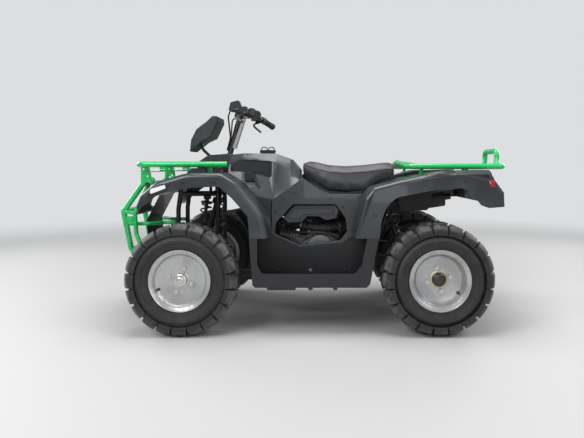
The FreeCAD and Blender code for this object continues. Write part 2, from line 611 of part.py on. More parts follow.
def rear_rack():
    x0, z = 477.0, REAR_RACK_Z
    half = RACK_HALF
    end = REACH_X - TUBE_R
    loop = [(end - 61, -half, z), (x0, -half, z), (x0 - 12, 0, z + 22), (x0, half, z), (end - 61, half, z)]
    parts = [bent_tube(loop, TUBE_R, 40)]
    rear = [(end - 66, -half, z), (end - 41, -half, z), (end, -150, z), (end, 150, z), (end - 41, half, z),
            (end - 66, half, z)]
    first, second = (x0 + share * (end - x0) for share in (0.284, 0.6))
    parts.append(bent_tube(rear, TUBE_R, 60))
    for y in (-165, 0, 165):
        parts.append(rod(V(x0 - (12 if y == 0 else 6), y, z + (22 if y == 0 else 11)), V(first, y, z), 10))
        parts.append(rod(V(first, y, z), V(end, y, z), 10))
    for x in (first, second):
        parts.append(rod(V(x, -half, z), V(x, half, z), 9))
    hoop = [(end, -107, z), (end, -107, 884 - TUBE_R), (end, 107, 884 - TUBE_R), (end, 107, z)]
    parts.append(bent_tube(hoop, TUBE_R, 26))
    for hand in (-1, 1):
        parts.append(rod(V(548, hand * 300, z), V(548, hand * 300, 740), 10))
        parts.append(rod(V(548, hand * 165, z), V(548, hand * half, z), 8))
        parts.append(rod(V(TAIL_X, hand * 40, 697 + 11 + FIT), V(TAIL_X, hand * 40, z), 10))
    parts.append(rod(V(TAIL_X, -165, z), V(TAIL_X, 165, z), 9))
    return fuse(*parts).cut(beneath(REAR_CREST, AIR).cut(block(700, 1100, -400, 400, 500, 900)))


# Bodywork

def shoulder(solid, crest, y, radius):
    """Rounds the edges that lie along the crest line in the plane at y."""
    line = Part.makePolygon([V(point[0], y, point[1]) for point in crest])
    edges = []
    for edge in solid.Edges:
        middle = edge.valueAt((edge.FirstParameter + edge.LastParameter) / 2)
        level = all(abs(point.y - y) < 1e-6 for point in [middle] + [v.Point for v in edge.Vertexes])
        if level and line.distToShape(Part.Vertex(middle))[0] < 25:
            edges.append(edge)
    return solid.makeFillet(radius, edges)


def fender(crest, lip):
    """One-side fender: outer skin with rounded shoulder and lip flange, open underneath."""
    body = slab(list(crest) + list(reversed(lip)), -FENDER_Y, -FENDER_IN - 15)
    under = beside(crest, -WALL)
    inner = slab(list(under) + list(reversed(beside(lip, -WALL * 6))), -FENDER_Y + WALL, -FENDER_IN)
    return shoulder(body, crest, -FENDER_Y, SHOULDER_R).cut(
        shoulder(inner, under, -FENDER_Y + WALL, SHOULDER_R - WALL))


def front_fender():
    return fender(FRONT_CREST, FRONT_LIP)


def rear_fender():
    """Rear fender with the raised pad over its shoulder and the hole of its tail lamp."""
    over = beside(REAR_CREST, PAD_RISE)
    raised = shoulder(slab(over + list(reversed(REAR_LIP)), -FENDER_Y - PAD_RISE, -FENDER_IN - 15),
                      over, -FENDER_Y - PAD_RISE, SHOULDER_R + PAD_RISE)
    pad = raised.common(slab(REAR_PAD, -FENDER_Y - 2 * PAD_RISE, -FENDER_Y + 34))
    pad = pad.cut(slab(list(beside(REAR_CREST, -WALL)) + list(reversed(REAR_LIP)), -FENDER_Y + WALL, 0))
    hole = slab([tail(875.2, 723.3), tail(899.1, 690.0), tail(873.1, 671.3), tail(849.2, 704.7)],
                -LAMP_Y - LAMP_HALF - AIR, -LAMP_Y + LAMP_HALF + AIR)
    return fuse(fender(REAR_CREST, REAR_LIP), pad).cut(hole)


def front_cowl():
    """Deck between the front fenders with the raised dome that the steering column passes."""
    wide = FENDER_IN + 15 - AIR
    deck = slab(band(FRONT_DECK, -WALL), -wide, wide)
    rear = FRONT_DECK[-1][0]
    outer = slab([(-612, 750), (-600, 812, 30), (-548, TANK_TOP - 8, 40), (rear, TANK_TOP), (rear, 750)],
                 -DOME_HALF, DOME_HALF)
    side = DOME_HALF - WALL
    inner = slab([(-608, 740), (-596, 808, 28), (-546, TANK_TOP - 12, 38), (rear - 4, TANK_TOP - 4),
                  (rear - 4, 740)], -side, side)
    nose = slab(band([(-800, 641), (-872, 500), (-862, 410)], WALL), -140, 140)
    hole = rod(column_point(700), column_point(900), 34)
    return fuse(deck, outer, nose).cut(inner).cut(hole).cut(headlamp_stay(9))


def tank_cover():
    """Lofted centre cover over the fuel tank, with a knee recess each side."""
    # columns: x, half width at the bottom, bottom z, half width at the shoulder, shoulder z, half top, top z
    rows = [(-436, 200, 700, 150, 800, 110, TANK_TOP - 6), (-360, 225, 640, 165, 815, 120, TANK_TOP + 2),
            (-190, 238, 610, 165, 812, 120, TANK_TOP), (-110, 240, 640, 160, 770, 115, 826),
            (-62, 236, 690, 150, 735, 100, 770)]
    sections = []
    for x, low_half, low_z, mid_half, mid_z, top_half, top_z in rows:
        ring = [(-low_half, low_z), (-mid_half, mid_z), (-top_half, top_z), (top_half, top_z),
                (mid_half, mid_z), (low_half, low_z)]
        wire = outline(ring, on_front)
        wire.translate(V(x, 0, 0))
        sections.append(wire)
    cover = Part.makeLoft(sections, True, True)
    recess = [(-424, 765, 10), (-419, 828, 8), (-208, 816, 12), (-206, 722, 14), (-235, 735), (-324, 758, 60)]
    for y0, y1 in ((-260, -148), (148, 260)):
        cover = cover.cut(slab(recess, y0, y1))
    return cover.cut(block(-460, -40, -RAIL_Y - 22, RAIL_Y + 22, 560, 655 + RAIL_R + AIR))


def side_panel():
    """Left side panel with the engine window."""
    shape = [(-201, 452), (-201, 620, 10), (-48, 726, 12), (45, 668), (95, 646, 20), (262, 646, 10), (212, 452)]
    window = [(-182, 500, 20), (-94, 595, 12), (122, 597, 14), (172, 526, 16), (182, 458, 14),
              (146, 412, 12), (-58, 390, 12), (-186, 445, 12)]
    skin_face = fuse(slab(shape, -PANEL_Y, -PANEL_Y + WALL),
                     slab([(-201, 453)] + PANEL_FOOT + [(212, 453)], -PANEL_Y, -PANEL_Y + WALL))
    frame = slab(window, -PANEL_Y, -PANEL_Y + 22)
    outer = slab([(-190, 500, 20), (-98, 602, 12), (126, 604, 14), (179, 527, 16), (190, 456, 14),
                  (150, 405, 12), (-60, 382, 12), (-194, 441, 12)], -PANEL_Y, -PANEL_Y + 22)
    return fuse(skin_face, outer).cut(frame)


def airbox_cover():
    """Faceted grey cover seen in the left engine window."""
    shape = [(-146, 524, 6), (-88, AIRBOX_TOP, 8), (119, AIRBOX_TOP, 8), (139, 566, 6), (125, 523, 8), (76, 513, 6),
             (34, 533, 10), (-22, 533, 10), (-50, 505, 6), (-118, 500, 6)]
    body = slab(shape, -222, -120)
    ridge = slab([(-124, 524, 6), (-76, 572, 8), (104, 572, 8), (112, 560, 6), (96, 545, 8), (-30, 548, 8),
                  (-62, 520, 6)], -234, -222)
    return fuse(body, ridge)


def footboard():
    """Left footwell: floor, low outer lip, and walls rising at the front, inside and rear."""
    front = [(-284, 452), (-268, FLOOR_Z + 12), (-256, FLOOR_Z, 8), (262, FLOOR_Z, 8), (276, FLOOR_Z + 14), (318, 452)]
    whole = slab(front, -FENDER_Y, -PANEL_Y + 4)
    hollow = [(-279, 470), (-262, FLOOR_Z + 20), (-246, FLOOR_Z + WALL, 10), (254, FLOOR_Z + WALL, 10),
              (270, FLOOR_Z + 20), (312, 470)]
    well = slab(hollow, -FENDER_Y + WALL, -PANEL_Y)
    opening = slab([(-246, 470), (-246, 330), (-224, 288, 24), (208, 288, 24), (240, 330), (268, 470)],
                   -FENDER_Y - 5, -FENDER_Y + 20)
    tray = whole.cut(well).cut(opening)
    pegs = []
    for i in range(9):
        x = -190 + i * 44
        pegs.append(block(x, x + 22, -FENDER_Y + WALL - 1, -290, FLOOR_Z + WALL - 1, FLOOR_Z + 26))
    notch = slab([(-201 - 2, 470)] + [point[:2] for point in beside(PANEL_FOOT, -AIR)] + [(212 + 2, 470)],
                 -PANEL_Y - 1, -PANEL_Y + 10)
    return fuse(tray, *pegs).cut(notch)


def inner_guards():
    """Black liners between the wheels and the footwells, both sides."""
    front = slab(band([(-428, 560), (-360, 575, 20), (-318, 520, 30), (-284.5, 452, 40), (-268.5, 236)], -SHEET),
                 -FENDER_Y + 60, -150)
    rear = slab(band([(366, 600), (342, 530, 60), (318.5, 452, 40), (276.5, 238)], SHEET), -FENDER_Y + 12, -225)
    pair = [front, rear]
    return Part.makeCompound(pair + [mirrored(piece) for piece in pair])


def seat():
    """Padded saddle as one closed form, lofted along its length."""
    # columns: x, half width low, low z, half width high, shoulder z, top z
    rows = [(-56, 60, 742, 70, 806, 822), (16, 110, 700, 118, 784, 812), (85, 135, 655, 145, 766, 794),
            (180, 146, SEAT_PAN_Z, SEAT_HALF, 760, 787), (290, 146, SEAT_PAN_Z + 8, SEAT_HALF, 766, 795),
            (380, 140, 712, 150, 778, 806), (445, 132, 726, 142, 784, 812)]
    sections = []
    for x, low_half, low_z, high_half, shoulder, top in rows:
        ring = [(-low_half, low_z), (-high_half, shoulder), (-high_half * 0.72, top), (high_half * 0.72, top),
                (high_half, shoulder), (low_half, low_z)]
        wire = outline(ring, on_front)
        wire.translate(V(x, 0, 0))
        sections.append(wire)
    return Part.makeLoft(sections, True, True)


def rear_deck():
    """Centre deck behind the seat and the tail panel, with holes for the rack's posts."""
    wide = FENDER_IN + 15 - AIR
    deck = slab(band(REAR_DECK, -WALL), -wide, wide)
    for y in (-40, 40):
        deck = deck.cut(rod(V(TAIL_X, y, 700), V(TAIL_X, y, 800), 10 + AIR))
    return deck


def tail_lamps():
    return [slab(LAMP_SIDE, y - LAMP_HALF, y + LAMP_HALF) for y in (-LAMP_Y, LAMP_Y)]


def engine():
    """Horizontal single as a plain block, with its finned cylinder and round side covers."""
    case = slab([(-60, ENGINE_Z, 20), (112, ENGINE_Z, 16), (164, 296, 30), (160, 400, 30), (20, 430, 20),
                 (-60, 380, 20)], -110, 110)
    barrel = slab([(-60, 300), (-30, 392), (-170, 436), (-200, 344)], -58, 58)
    fins = []
    for i in range(7):
        share = i / 6.0
        fin = block(-3, 3, -78, 78, -66, 66)
        fin.rotate(V(0, 0, 0), LATERAL, 17.4)
        fin.translate(V(-66 - 96 * share, 0, 352 + 30 * share))
        fins.append(fin)
    cover = rod(V(43, -100, 365), V(43, -168, 365), 66)
    right_cover = rod(V(24, 100, 340), V(24, 136, 340), 70)
    output = rod(V(DRIVE_X, CHAIN_Y + 8, DRIVE_Z), V(DRIVE_X, 40, DRIVE_Z), 11)
    drive = rod(V(DRIVE_X, CHAIN_Y - 3, DRIVE_Z), V(DRIVE_X, CHAIN_Y + 3, DRIVE_Z), DRIVE_R - FIT)
    return fuse(case, barrel, cover, right_cover, output, drive, *fins)


def exhaust():
    """Header from the cylinder head along the right side to the silencer under the rear fender."""
    pipe = bent_tube([(-185.5, 40, 390.2), (-236, 40, 406.6), (-236, 150, 470), (-60, 190, 490), (200, 190, 500),
                      (420, 190, 560)], 15, 45)
    can_end = tail(760, 610)
    can = rod(V(410, 190, 558), V(can_end[0], 190, can_end[1]), 52)
    tip = rod(V(can_end[0] - 10, 190, 608), V(can_end[0] + 40, 190, 616), 18)
    return fuse(pipe, can, tip)


def swingarm():
    """Rear swinging arm between the frame's uprights: axle carrier, brake caliper and tow hitch plate."""
    pivot_half = RAIL_Y - RAIL_R - AIR
    parts = [rod(V(PIVOT_X, -pivot_half, PIVOT_Z), V(PIVOT_X, pivot_half, PIVOT_Z), 20)]
    for hand in (-1, 1):
        y = hand * 40
        parts.append(slab([(186, 296, 6), (186, 322, 6), (300, 314), (575, 285), (575, 242), (300, 268)],
                          y - 13, y + 13))
        near, far = sorted((hand * (12 + FIT), hand * (16 + FIT)))
        foot = REAR_DAMPER_FOOT
        parts.append(block(foot.x - 16, foot.x + 16, near, far, 270, foot.z + 10))
    carrier = rod(V(REAR_X, -112, AXLE_Z), V(REAR_X, 112, AXLE_Z), 42)
    parts += [carrier, rod(V(330, -40, 290), V(330, 40, 290), 15), block(548, 598, -76, 76, 232, 288)]
    parts.append(block(470, 520, -30, 30, 262, 300))
    disc_y = -BRAKE_SIDE_Y - 1
    caliper = block(490, 556, disc_y - 22, disc_y + 22, 236, 284).cut(
        rod(V(REAR_X, disc_y - 4.5, AXLE_Z), V(REAR_X, disc_y + 4.5, AXLE_Z), REAR_BRAKE_R + 3))
    parts += [caliper, block(530, 556, disc_y + 14, -60, 244, 276)]
    parts.append(plate([(630, -32), (702, -32, 14), (724, -12, 8), (724, 12, 8), (702, 32, 14), (630, 32)],
                       HITCH_Z - 4, HITCH_Z + 4))
    for y in (-32, 24):
        parts.append(slab([(628, 228), (628, HITCH_Z), (690, HITCH_Z), (684, 258)], y, y + 8))
    bore = rod(V(HITCH_X, 0, HITCH_Z - 20), V(HITCH_X, 0, HITCH_Z + 20), HITCH_R)
    return fuse(*parts).cut(rod(V(REAR_X, -120, AXLE_Z), V(REAR_X, 120, AXLE_Z), AXLE_R + FIT)).cut(bore)


def rear_box():
    """Dark electrics box outside the left rear rail."""
    return slab([(452, 650, 8), (625, 664, 8), (625, 590, 14), (600, 560, 10), (470, 556, 8), (452, 600, 8)],
                -170, -RAIL_Y - RAIL_R - AIR)


# Steering

def steering_column():
    top = COLUMN_TOP
    shaft = rod(COLUMN_FOOT - STEER_AXIS * COLUMN_TAIL, top, COLUMN_R)
    parts = []
    for hand in (-1, 1):
        pin = pitman_pin(hand)
        parts.append(rod(pin - STEER_AXIS * 8, pin + STEER_AXIS * 17, 5))
        parts.append(rod(pin - STEER_AXIS * 8, pin, 12))
    arm = plate([(18, -20, 8), (18, 20, 8), (-STEER_ARM - 13, STEER_SPLAY + 12, 8),
                 (-STEER_ARM - 13, -STEER_SPLAY - 12, 8)], -8, -1)
    arm.rotate(V(0, 0, 0), LATERAL, RAKE_DEG)
    arm.translate(COLUMN_FOOT)
    shield = slab([(-10, -90), (6, -90), (14, 80), (4, 84), (-2, 40)], -26, 26)
    shield.rotate(V(0, 0, 0), LATERAL, RAKE_DEG)
    shield.translate(column_point(COLUMN_TOP_Z - 91) + V(19, 0, 0))
    head = rod(top - STEER_AXIS * 14, top - STEER_AXIS * 2, 32)
    seat_block = block(top.x - 22, top.x + 22, -50, 50, top.z - 8, top.z + 8)
    return fuse(shaft, arm, shield, head, seat_block, *parts)


def pitman_pin(hand):
    """Ball pin of the pitman arm, where a tie rod starts."""
    forward = V(-math.cos(RAKE), 0, math.sin(RAKE))
    return COLUMN_FOOT + forward * STEER_ARM + V(0, hand * STEER_SPLAY, 0)


def handlebar():
    top = COLUMN_TOP
    z = top.z + BAR_LIFT
    bend = GRIP_START - (GRIP_END - GRIP_START).normalize() * 50
    run = [(GRIP_END.x, GRIP_END.y, GRIP_END.z), (bend.x, bend.y, bend.z), (top.x, -120, z)]
    bar = bent_tube(run + [(x, -y, z) for x, y, z in reversed(run)], BAR_R, 40)
    clamps = [block(top.x - 20, top.x + 20, y - 12, y + 12, top.z + 8 + AIR, z + 18) for y in (-35, 35)]
    return fuse(bar, *clamps)


def grips():
    axis = (GRIP_END - GRIP_START).normalize()
    grip = rod(GRIP_START + axis * 8, GRIP_END + axis * 6, 17)
    grip = grip.cut(rod(GRIP_START - axis * 10, GRIP_END + axis * AIR, BAR_R + FIT))
    return [grip, mirrored(grip)]


def levers():
    axis = (GRIP_END - GRIP_START).normalize()
    clamp_at = GRIP_START - axis * 10
    perch = rod(clamp_at - axis * 13, clamp_at + axis * 13, 19)
    at = GRIP_START
    blade = bent_tube([(at.x - 42, at.y, at.z - 12), (at.x - 68, at.y - 48, at.z - 26),
                       (at.x - 30, at.y - 130, at.z - 60)], 6, 60)
    pivot = rod(clamp_at, at + V(-42, 0, -10), 12)
    pot = block(at.x - 68, at.x - 26, at.y - 6, at.y + 40, at.z - 2, at.z + 28)
    neck = rod(clamp_at, at + V(-45, 17, 8), 10)
    piece = fuse(perch, blade, pivot, pot, neck).cut(rod(clamp_at - axis * 26, clamp_at + axis * 60, BAR_R + FIT))
    return [piece, mirrored(piece)]


def instrument():
    """Small meter housing that rests on the handlebar clamps."""
    top = COLUMN_TOP
    rest = top.z + BAR_LIFT + 18 + AIR
    return slab([(top.x - 58, top.z + 26, 6), (top.x - 46, top.z + 72, 10), (top.x - 2, top.z + 83, 8),
                 (top.x + 16, rest), (top.x - 20, rest), (top.x - 26, top.z + 23, 4)], -44, 44)


def control_hoses():
    """Brake hose and throttle cable, from the lever clusters down the front of the column."""
    at = GRIP_START
    low = column_point(COLUMN_TOP_Z - 190)
    mid = column_point(COLUMN_TOP_Z - 120)
    front = COLUMN_R / math.cos(RAKE) + 4 + AIR
    run = [(at.x - 68 - AIR, at.y + 30, at.z + 14), (at.x - 112, at.y + 30, at.z + 14), (mid.x - front - 2, -70, mid.z + 110),
           (mid.x - front, -6, mid.z), (low.x - front, -6, low.z)]
    hose = bent_tube(run, 4, 50)
    return [hose, mirrored(hose)]


def tie_rod(hand):
    pin = pitman_pin(hand)
    far = V(FRONT_X - STEER_ARM, hand * (KING_Y + STEER_SPLAY), ROD_Z)
    start = pin + STEER_AXIS * 10
    bar = rod(start, far, 7)
    near_eye = rod(pin + STEER_AXIS * 2, pin + STEER_AXIS * 15, 13)
    far_eye = rod(far - UP * 7, far + UP * 7, 15)
    whole = fuse(bar, near_eye, far_eye)
    whole = whole.cut(rod(pin - STEER_AXIS * 5, pin + STEER_AXIS * 30, 5 + FIT))
    return whole.cut(rod(far - UP * 20, far + UP * 20, 5 + 3.5))


# Lamps and small pieces

def headlamp_pod():
    """Faceted headlamp shroud: the outer shell with its dark back."""
    shroud = [(-655, 868), (-648, 930), (-618, 985, 10), (-560, 1027), (-530, 1056), (-508, 1056), (-505, 1030),
              (-545, 945, 10), (-590, 924)]
    body = slab(shroud, -112, 112)
    wide = [(-700, -70), (-700, 70), (-480, 150), (-480, -150)]
    return body.common(plate(wide, 800, 1100)).cut(headlamp_stay(8 + AIR))


def headlamp_lens():
    """Clear lens on the pod's front face."""
    line = [(-653.6, 880), (-648, 930), (-623.5, 975)]
    return slab(beside(line, AIR) + list(reversed(beside(line, 6))), -60, 60)


def markers():
    lamps = []
    for hand in (-1, 1):
        y0, y1 = sorted((hand * (FENDER_Y + 8), hand * (FENDER_Y + FIT)))
        lamps.append(slab([(-741, 666), (-735, 660), (-668, 686), (-673, 702), (-739, 682)], y0, y1))
    return lamps


def gear_lever(cover):
    """Gear shift lever on the left of the tank cover."""
    base = block(-345, -300, -212, -150, 715, 760)
    pivot = rod(V(-305, -170, 740), V(-305, -226, 740), 14)
    lever = rod(V(-300, -220, 742), V(-276, -230, 690), 6)
    near = cover.copy()
    near.translate(V(0, -AIR, 0))
    return fuse(base, pivot, lever).cut(near)


def fuel_cap():
    return rod(V(-246, 0, TANK_TOP + 1.4), V(-246, 0, TANK_TOP + 22), 42)


# Assembly
os.makedirs("parts", exist_ok=True)

for name, tyre_w, track, axle_x, steel in (
        ("front", FRONT_TYRE_W, FRONT_TRACK, FRONT_X, rim(FRONT_TYRE_W, FRONT_RECESS, 98, 116, FRONT_STUD_DEG)),
        ("rear", REAR_TYRE_W, REAR_TRACK, REAR_X, rim(REAR_TYRE_W, REAR_RECESS, 102, 112, REAR_STUD_DEG))):
    rubber = tyre(tyre_w, LUGS)
    for side, hand in (("left", -1), ("right", 1)):
        for kind, shape in (("tyre", rubber), ("rim", steel)):
            piece = shape.copy()
            piece = piece if hand < 0 else mirrored(piece)
            piece.translate(V(axle_x, hand * track / 2, AXLE_Z))
            save(name + "_" + kind + "_" + side, piece)

for side, hand in (("left", -1), ("right", 1)):
    def place(shape):
        return shape if hand < 0 else mirrored(shape)

    hub = front_hub()
    hub.translate(V(FRONT_X, -FRONT_TRACK / 2, AXLE_Z))
    upright = knuckle()
    upright.translate(V(FRONT_X, -FRONT_TRACK / 2, AXLE_Z))
    save("front_hub_" + side, place(hub))
    save("knuckle_" + side, place(upright))
    save("tie_rod_" + side, tie_rod(hand))
    save("wishbones_" + side, place(wishbones()))
    save("front_damper_" + side, place(damper(DAMPER_FOOT, DAMPER_TOP, V(1, 0, 0), 30, 7)))
    save("front_fender_" + side, place(front_fender()))
    save("rear_fender_" + side, place(rear_fender()))
    save("side_panel_" + side, place(side_panel()))
    save("footboard_" + side, place(footboard()))

save("rear_axle", rear_axle())
save("drive_chain", chain())
save("lower_frame", lower_frame())
save("upper_frame", upper_frame())
save("front_subframe", front_subframe())
save("swingarm", swingarm())
save("rear_damper", damper(REAR_DAMPER_FOOT, REAR_DAMPER_TOP, LATERAL, 34, 6))
save("engine", engine())
save("exhaust", exhaust())
save("airbox_cover", airbox_cover())
save("front_rack", front_rack())
save("front_bumper", bumper())
save("rear_rack", rear_rack())
save("front_cowl", front_cowl())
cover = tank_cover()
save("tank_cover", cover)
save("fuel_cap", fuel_cap())
save("seat", seat())
save("rear_deck", rear_deck())
save("inner_guards", inner_guards())
save("tail_lamps", Part.makeCompound(tail_lamps()))
save("marker_lamps", Part.makeCompound(markers()))
save("rear_box", rear_box())
save("headlamp_pod", headlamp_pod())
save("gear_lever", gear_lever(cover))
save("steering_column", steering_column())
save("handlebar", handlebar())
save("grips", Part.makeCompound(grips()))
save("levers", Part.makeCompound(levers()))
save("instrument", instrument())
save("headlamp_lens", headlamp_lens())
save("control_hoses", Part.makeCompound(control_hoses()))
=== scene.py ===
import bpy
import bmesh
import json
import math
from mathutils import Matrix, Vector

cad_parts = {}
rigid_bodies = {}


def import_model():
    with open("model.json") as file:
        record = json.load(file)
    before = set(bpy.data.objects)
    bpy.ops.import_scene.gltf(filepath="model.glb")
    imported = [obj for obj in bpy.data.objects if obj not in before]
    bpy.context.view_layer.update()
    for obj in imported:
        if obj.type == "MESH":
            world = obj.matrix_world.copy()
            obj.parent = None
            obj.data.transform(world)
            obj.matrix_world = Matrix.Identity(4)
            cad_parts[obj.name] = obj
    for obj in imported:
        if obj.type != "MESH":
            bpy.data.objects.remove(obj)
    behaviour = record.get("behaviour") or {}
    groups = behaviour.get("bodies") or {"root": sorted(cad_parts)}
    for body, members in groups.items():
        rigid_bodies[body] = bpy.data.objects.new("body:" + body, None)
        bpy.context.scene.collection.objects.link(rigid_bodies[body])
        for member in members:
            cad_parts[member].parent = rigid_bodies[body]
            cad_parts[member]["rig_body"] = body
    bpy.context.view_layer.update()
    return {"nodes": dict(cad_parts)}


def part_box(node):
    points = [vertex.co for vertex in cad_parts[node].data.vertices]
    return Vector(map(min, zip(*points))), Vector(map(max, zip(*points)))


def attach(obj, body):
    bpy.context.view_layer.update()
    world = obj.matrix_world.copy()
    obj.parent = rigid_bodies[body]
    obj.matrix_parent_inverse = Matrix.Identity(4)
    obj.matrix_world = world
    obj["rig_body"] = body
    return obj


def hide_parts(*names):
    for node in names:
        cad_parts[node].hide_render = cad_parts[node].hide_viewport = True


# Utility quad bike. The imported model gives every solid; this file gives each part the finish of the
# real one and adds the pieces that are too fine for the solids, in the order the machine is built.
# Metres throughout: front towards -X, left side towards -Y.
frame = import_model()
scene = bpy.context.scene

# Camera and light. The photograph was taken from the left, square to the machine, from the height of the
# racks. Its vanishing point lies beside the frame's middle, so the view is shifted and not turned. Soft
# boxes hang above, before and behind the machine.
PHOTO_W, PHOTO_H = 584, 438
FOCAL, VANISHING_X, VANISHING_Y = 560, 325, 168     # in the photograph's pixels
PALE = (0.72, 0.73, 0.74, 1)
camera = bpy.data.objects.new("camera", bpy.data.cameras.new("camera"))
scene.collection.objects.link(camera)
camera.location = (0.069, -3.086, 0.780)
camera.rotation_euler = (math.radians(90), 0, 0)
camera.data.lens = FOCAL / PHOTO_W * camera.data.sensor_width
camera.data.shift_x = (PHOTO_W / 2 - VANISHING_X) / PHOTO_W
camera.data.shift_y = (VANISHING_Y - PHOTO_H / 2) / PHOTO_W
scene.camera = camera
for spot, aim, size, watts in (
        ((-2.4, -3.0, 3.0), (0, 0, 0.5), 2.0, 100), ((2.8, -2.2, 2.8), (0.2, 0, 0.5), 1.8, 45),
        ((0.0, -0.4, 3.8), (0, 0, 0.4), 2.4, 115), ((-3.2, 1.8, 1.8), (-0.4, 0, 0.5), 1.6, 45),
        ((2.8, 2.6, 1.8), (0.4, 0, 0.5), 1.6, 40), ((0.4, -4.2, 1.0), (0, 0, 0.4), 1.2, 14)):
    soft_box = bpy.data.objects.new("soft_box", bpy.data.lights.new("soft_box", "AREA"))
    scene.collection.objects.link(soft_box)
    soft_box.location = spot
    soft_box.rotation_euler = (Vector(aim) - Vector(spot)).to_track_quat("-Z", "Y").to_euler()
    soft_box.data.size = size
    soft_box.data.energy = watts
scene.world = bpy.data.worlds.new("studio")
scene.world.use_nodes = True
studio = scene.world.node_tree
lit = studio.nodes["Background"]
lit.inputs["Color"].default_value = (0.86, 0.87, 0.88, 1)
lit.inputs["Strength"].default_value = 0.36
backdrop = studio.nodes.new("ShaderNodeBackground")
backdrop.inputs["Color"].default_value = PALE
choice = studio.nodes.new("ShaderNodeMixShader")
rays = studio.nodes.new("ShaderNodeLightPath")
studio.links.new(rays.outputs["Is Camera Ray"], choice.inputs["Fac"])
studio.links.new(lit.outputs["Background"], choice.inputs[1])
studio.links.new(backdrop.outputs["Background"], choice.inputs[2])
studio.links.new(choice.outputs["Shader"], studio.nodes["World Output"].inputs["Surface"])
scene.view_settings.view_transform = "Standard"


# Frame: lower rails, backbone, front bulkhead, swinging arm and A-arms, of round steel tube welded
# together and powder-coated black. The coat has a fine orange peel, and grey dust lies on what faces up.
class Wire:
    """A socket of a material, so that patterns are written as sums and products."""

    def __init__(self, socket):
        self.socket = socket

    def maths(self, operation, first, second):
        node = self.socket.id_data.nodes.new("ShaderNodeMath")
        node.operation = operation
        for entry, term in zip(node.inputs, (first, second)):
            if isinstance(term, Wire):
                node.id_data.links.new(term.socket, entry)
            else:
                entry.default_value = term
        return Wire(node.outputs[0])

    def __add__(self, other):
        return self.maths("ADD", self, other)

    def __sub__(self, other):
        return self.maths("SUBTRACT", self, other)

    def __rsub__(self, other):
        return self.maths("SUBTRACT", other, self)

    def __mul__(self, other):
        return self.maths("MULTIPLY", self, other)

    def __pow__(self, other):
        return self.maths("POWER", self, other)

    def __rpow__(self, other):
        return self.maths("POWER", other, self)

    __radd__ = __add__
    __rmul__ = __mul__


class Finish:
    """A surface finish: its material, and one call that adds any node to it."""

    def __init__(self, name, colour=None, roughness=None, metal=0.0, coat=0.0):
        self.material = bpy.data.materials.new(name)
        self.material.use_nodes = True
        self.nodes = self.material.node_tree.nodes
        self.skin = self.nodes["Principled BSDF"]
        if colour:
            self.skin.inputs["Base Color"].default_value = (*colour, 1)
        if roughness:
            self.skin.inputs["Roughness"].default_value = roughness
        self.skin.inputs["Metallic"].default_value = metal
        self.skin.inputs["Coat Weight"].default_value = coat
        self.place = Wire(self.nodes.new("ShaderNodeTexCoord").outputs["Object"])

    def node(self, kind, settings=None, outlet=0, **values):
        """Adds a node. A value goes to the socket of its name, or n0, n1 and so on to that number."""
        made = self.nodes.new("ShaderNode" + kind)
        for key, value in (settings or {}).items():
            setattr(made, key, value)
        for key, value in values.items():
            entry = made.inputs[int(key[1:])] if key[1:].isdigit() else made.inputs[key.replace("_", " ")]
            if isinstance(value, Wire):
                self.material.node_tree.links.new(value.socket, entry)
            else:
                entry.default_value = value
        return Wire(made.outputs[outlet])

    def noise(self, scale, detail=4.0, rough=0.55):
        return self.node("TexNoise", Vector=self.place, Scale=scale, Detail=detail, Roughness=rough)

    def between(self, share, first, second):
        """Colour mixed from two colours by a share."""
        return self.node("Mix", {"data_type": "RGBA"}, 2, n0=share,
                         n6=first if isinstance(first, Wire) else (*first, 1), n7=(*second, 1))

    def ramp(self, value, low, high):
        """0 below low, 1 above high, smooth between."""
        return self.node("MapRange", {"interpolation_type": "SMOOTHSTEP"},
                         Value=value, From_Min=low, From_Max=high)

    def upward(self):
        """How far the surface faces up, from -1 to 1."""
        normal = self.nodes.new("ShaderNodeNewGeometry").outputs["Normal"]
        return self.node("SeparateXYZ", outlet=2, Vector=Wire(normal))

    def feed(self, entry, wire):
        self.material.node_tree.links.new(wire.socket, self.skin.inputs[entry])

    def tint(self, share, first, second):
        self.feed("Base Color", self.between(share, first, second))

    def bump(self, height, depth, strength):
        self.feed("Normal", self.node("Bump", Height=height, Distance=depth, Strength=strength))


SAME_CORNER = 0.00002      # corners of a CAD part's loose triangles that lie this close are one


def body_of(name):
    """The moving body that a CAD part belongs to."""
    return frame["nodes"][name]["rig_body"]


def smooth_copy(name, finish, ease=0.0):
    """A CAD part's copy with its curves shaded smooth and, with ease, its edges rounded by that much."""
    sharp = math.radians(35)
    piece = bpy.data.objects.new("skin_" + name, frame["nodes"][name].data.copy())
    scene.collection.objects.link(piece)
    shell = bmesh.new()
    shell.from_mesh(piece.data)
    bmesh.ops.remove_doubles(shell, verts=shell.verts, dist=SAME_CORNER)
    bmesh.ops.dissolve_limit(shell, angle_limit=math.radians(0.8), verts=shell.verts, edges=shell.edges)
    shell.to_mesh(piece.data)
    shell.free()
    piece.data.materials.clear()
    piece.data.materials.append(finish.material)
    piece.data.shade_smooth()
    piece.data.set_sharp_from_angle(angle=sharp)
    if ease:
        edge = piece.modifiers.new("eased_edges", "BEVEL")
        edge.width = ease
        edge.segments = 2
        edge.limit_method = "ANGLE"
        edge.angle_limit = sharp
        edge.harden_normals = True
    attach(piece, body_of(name))
    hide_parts(name)
    return piece


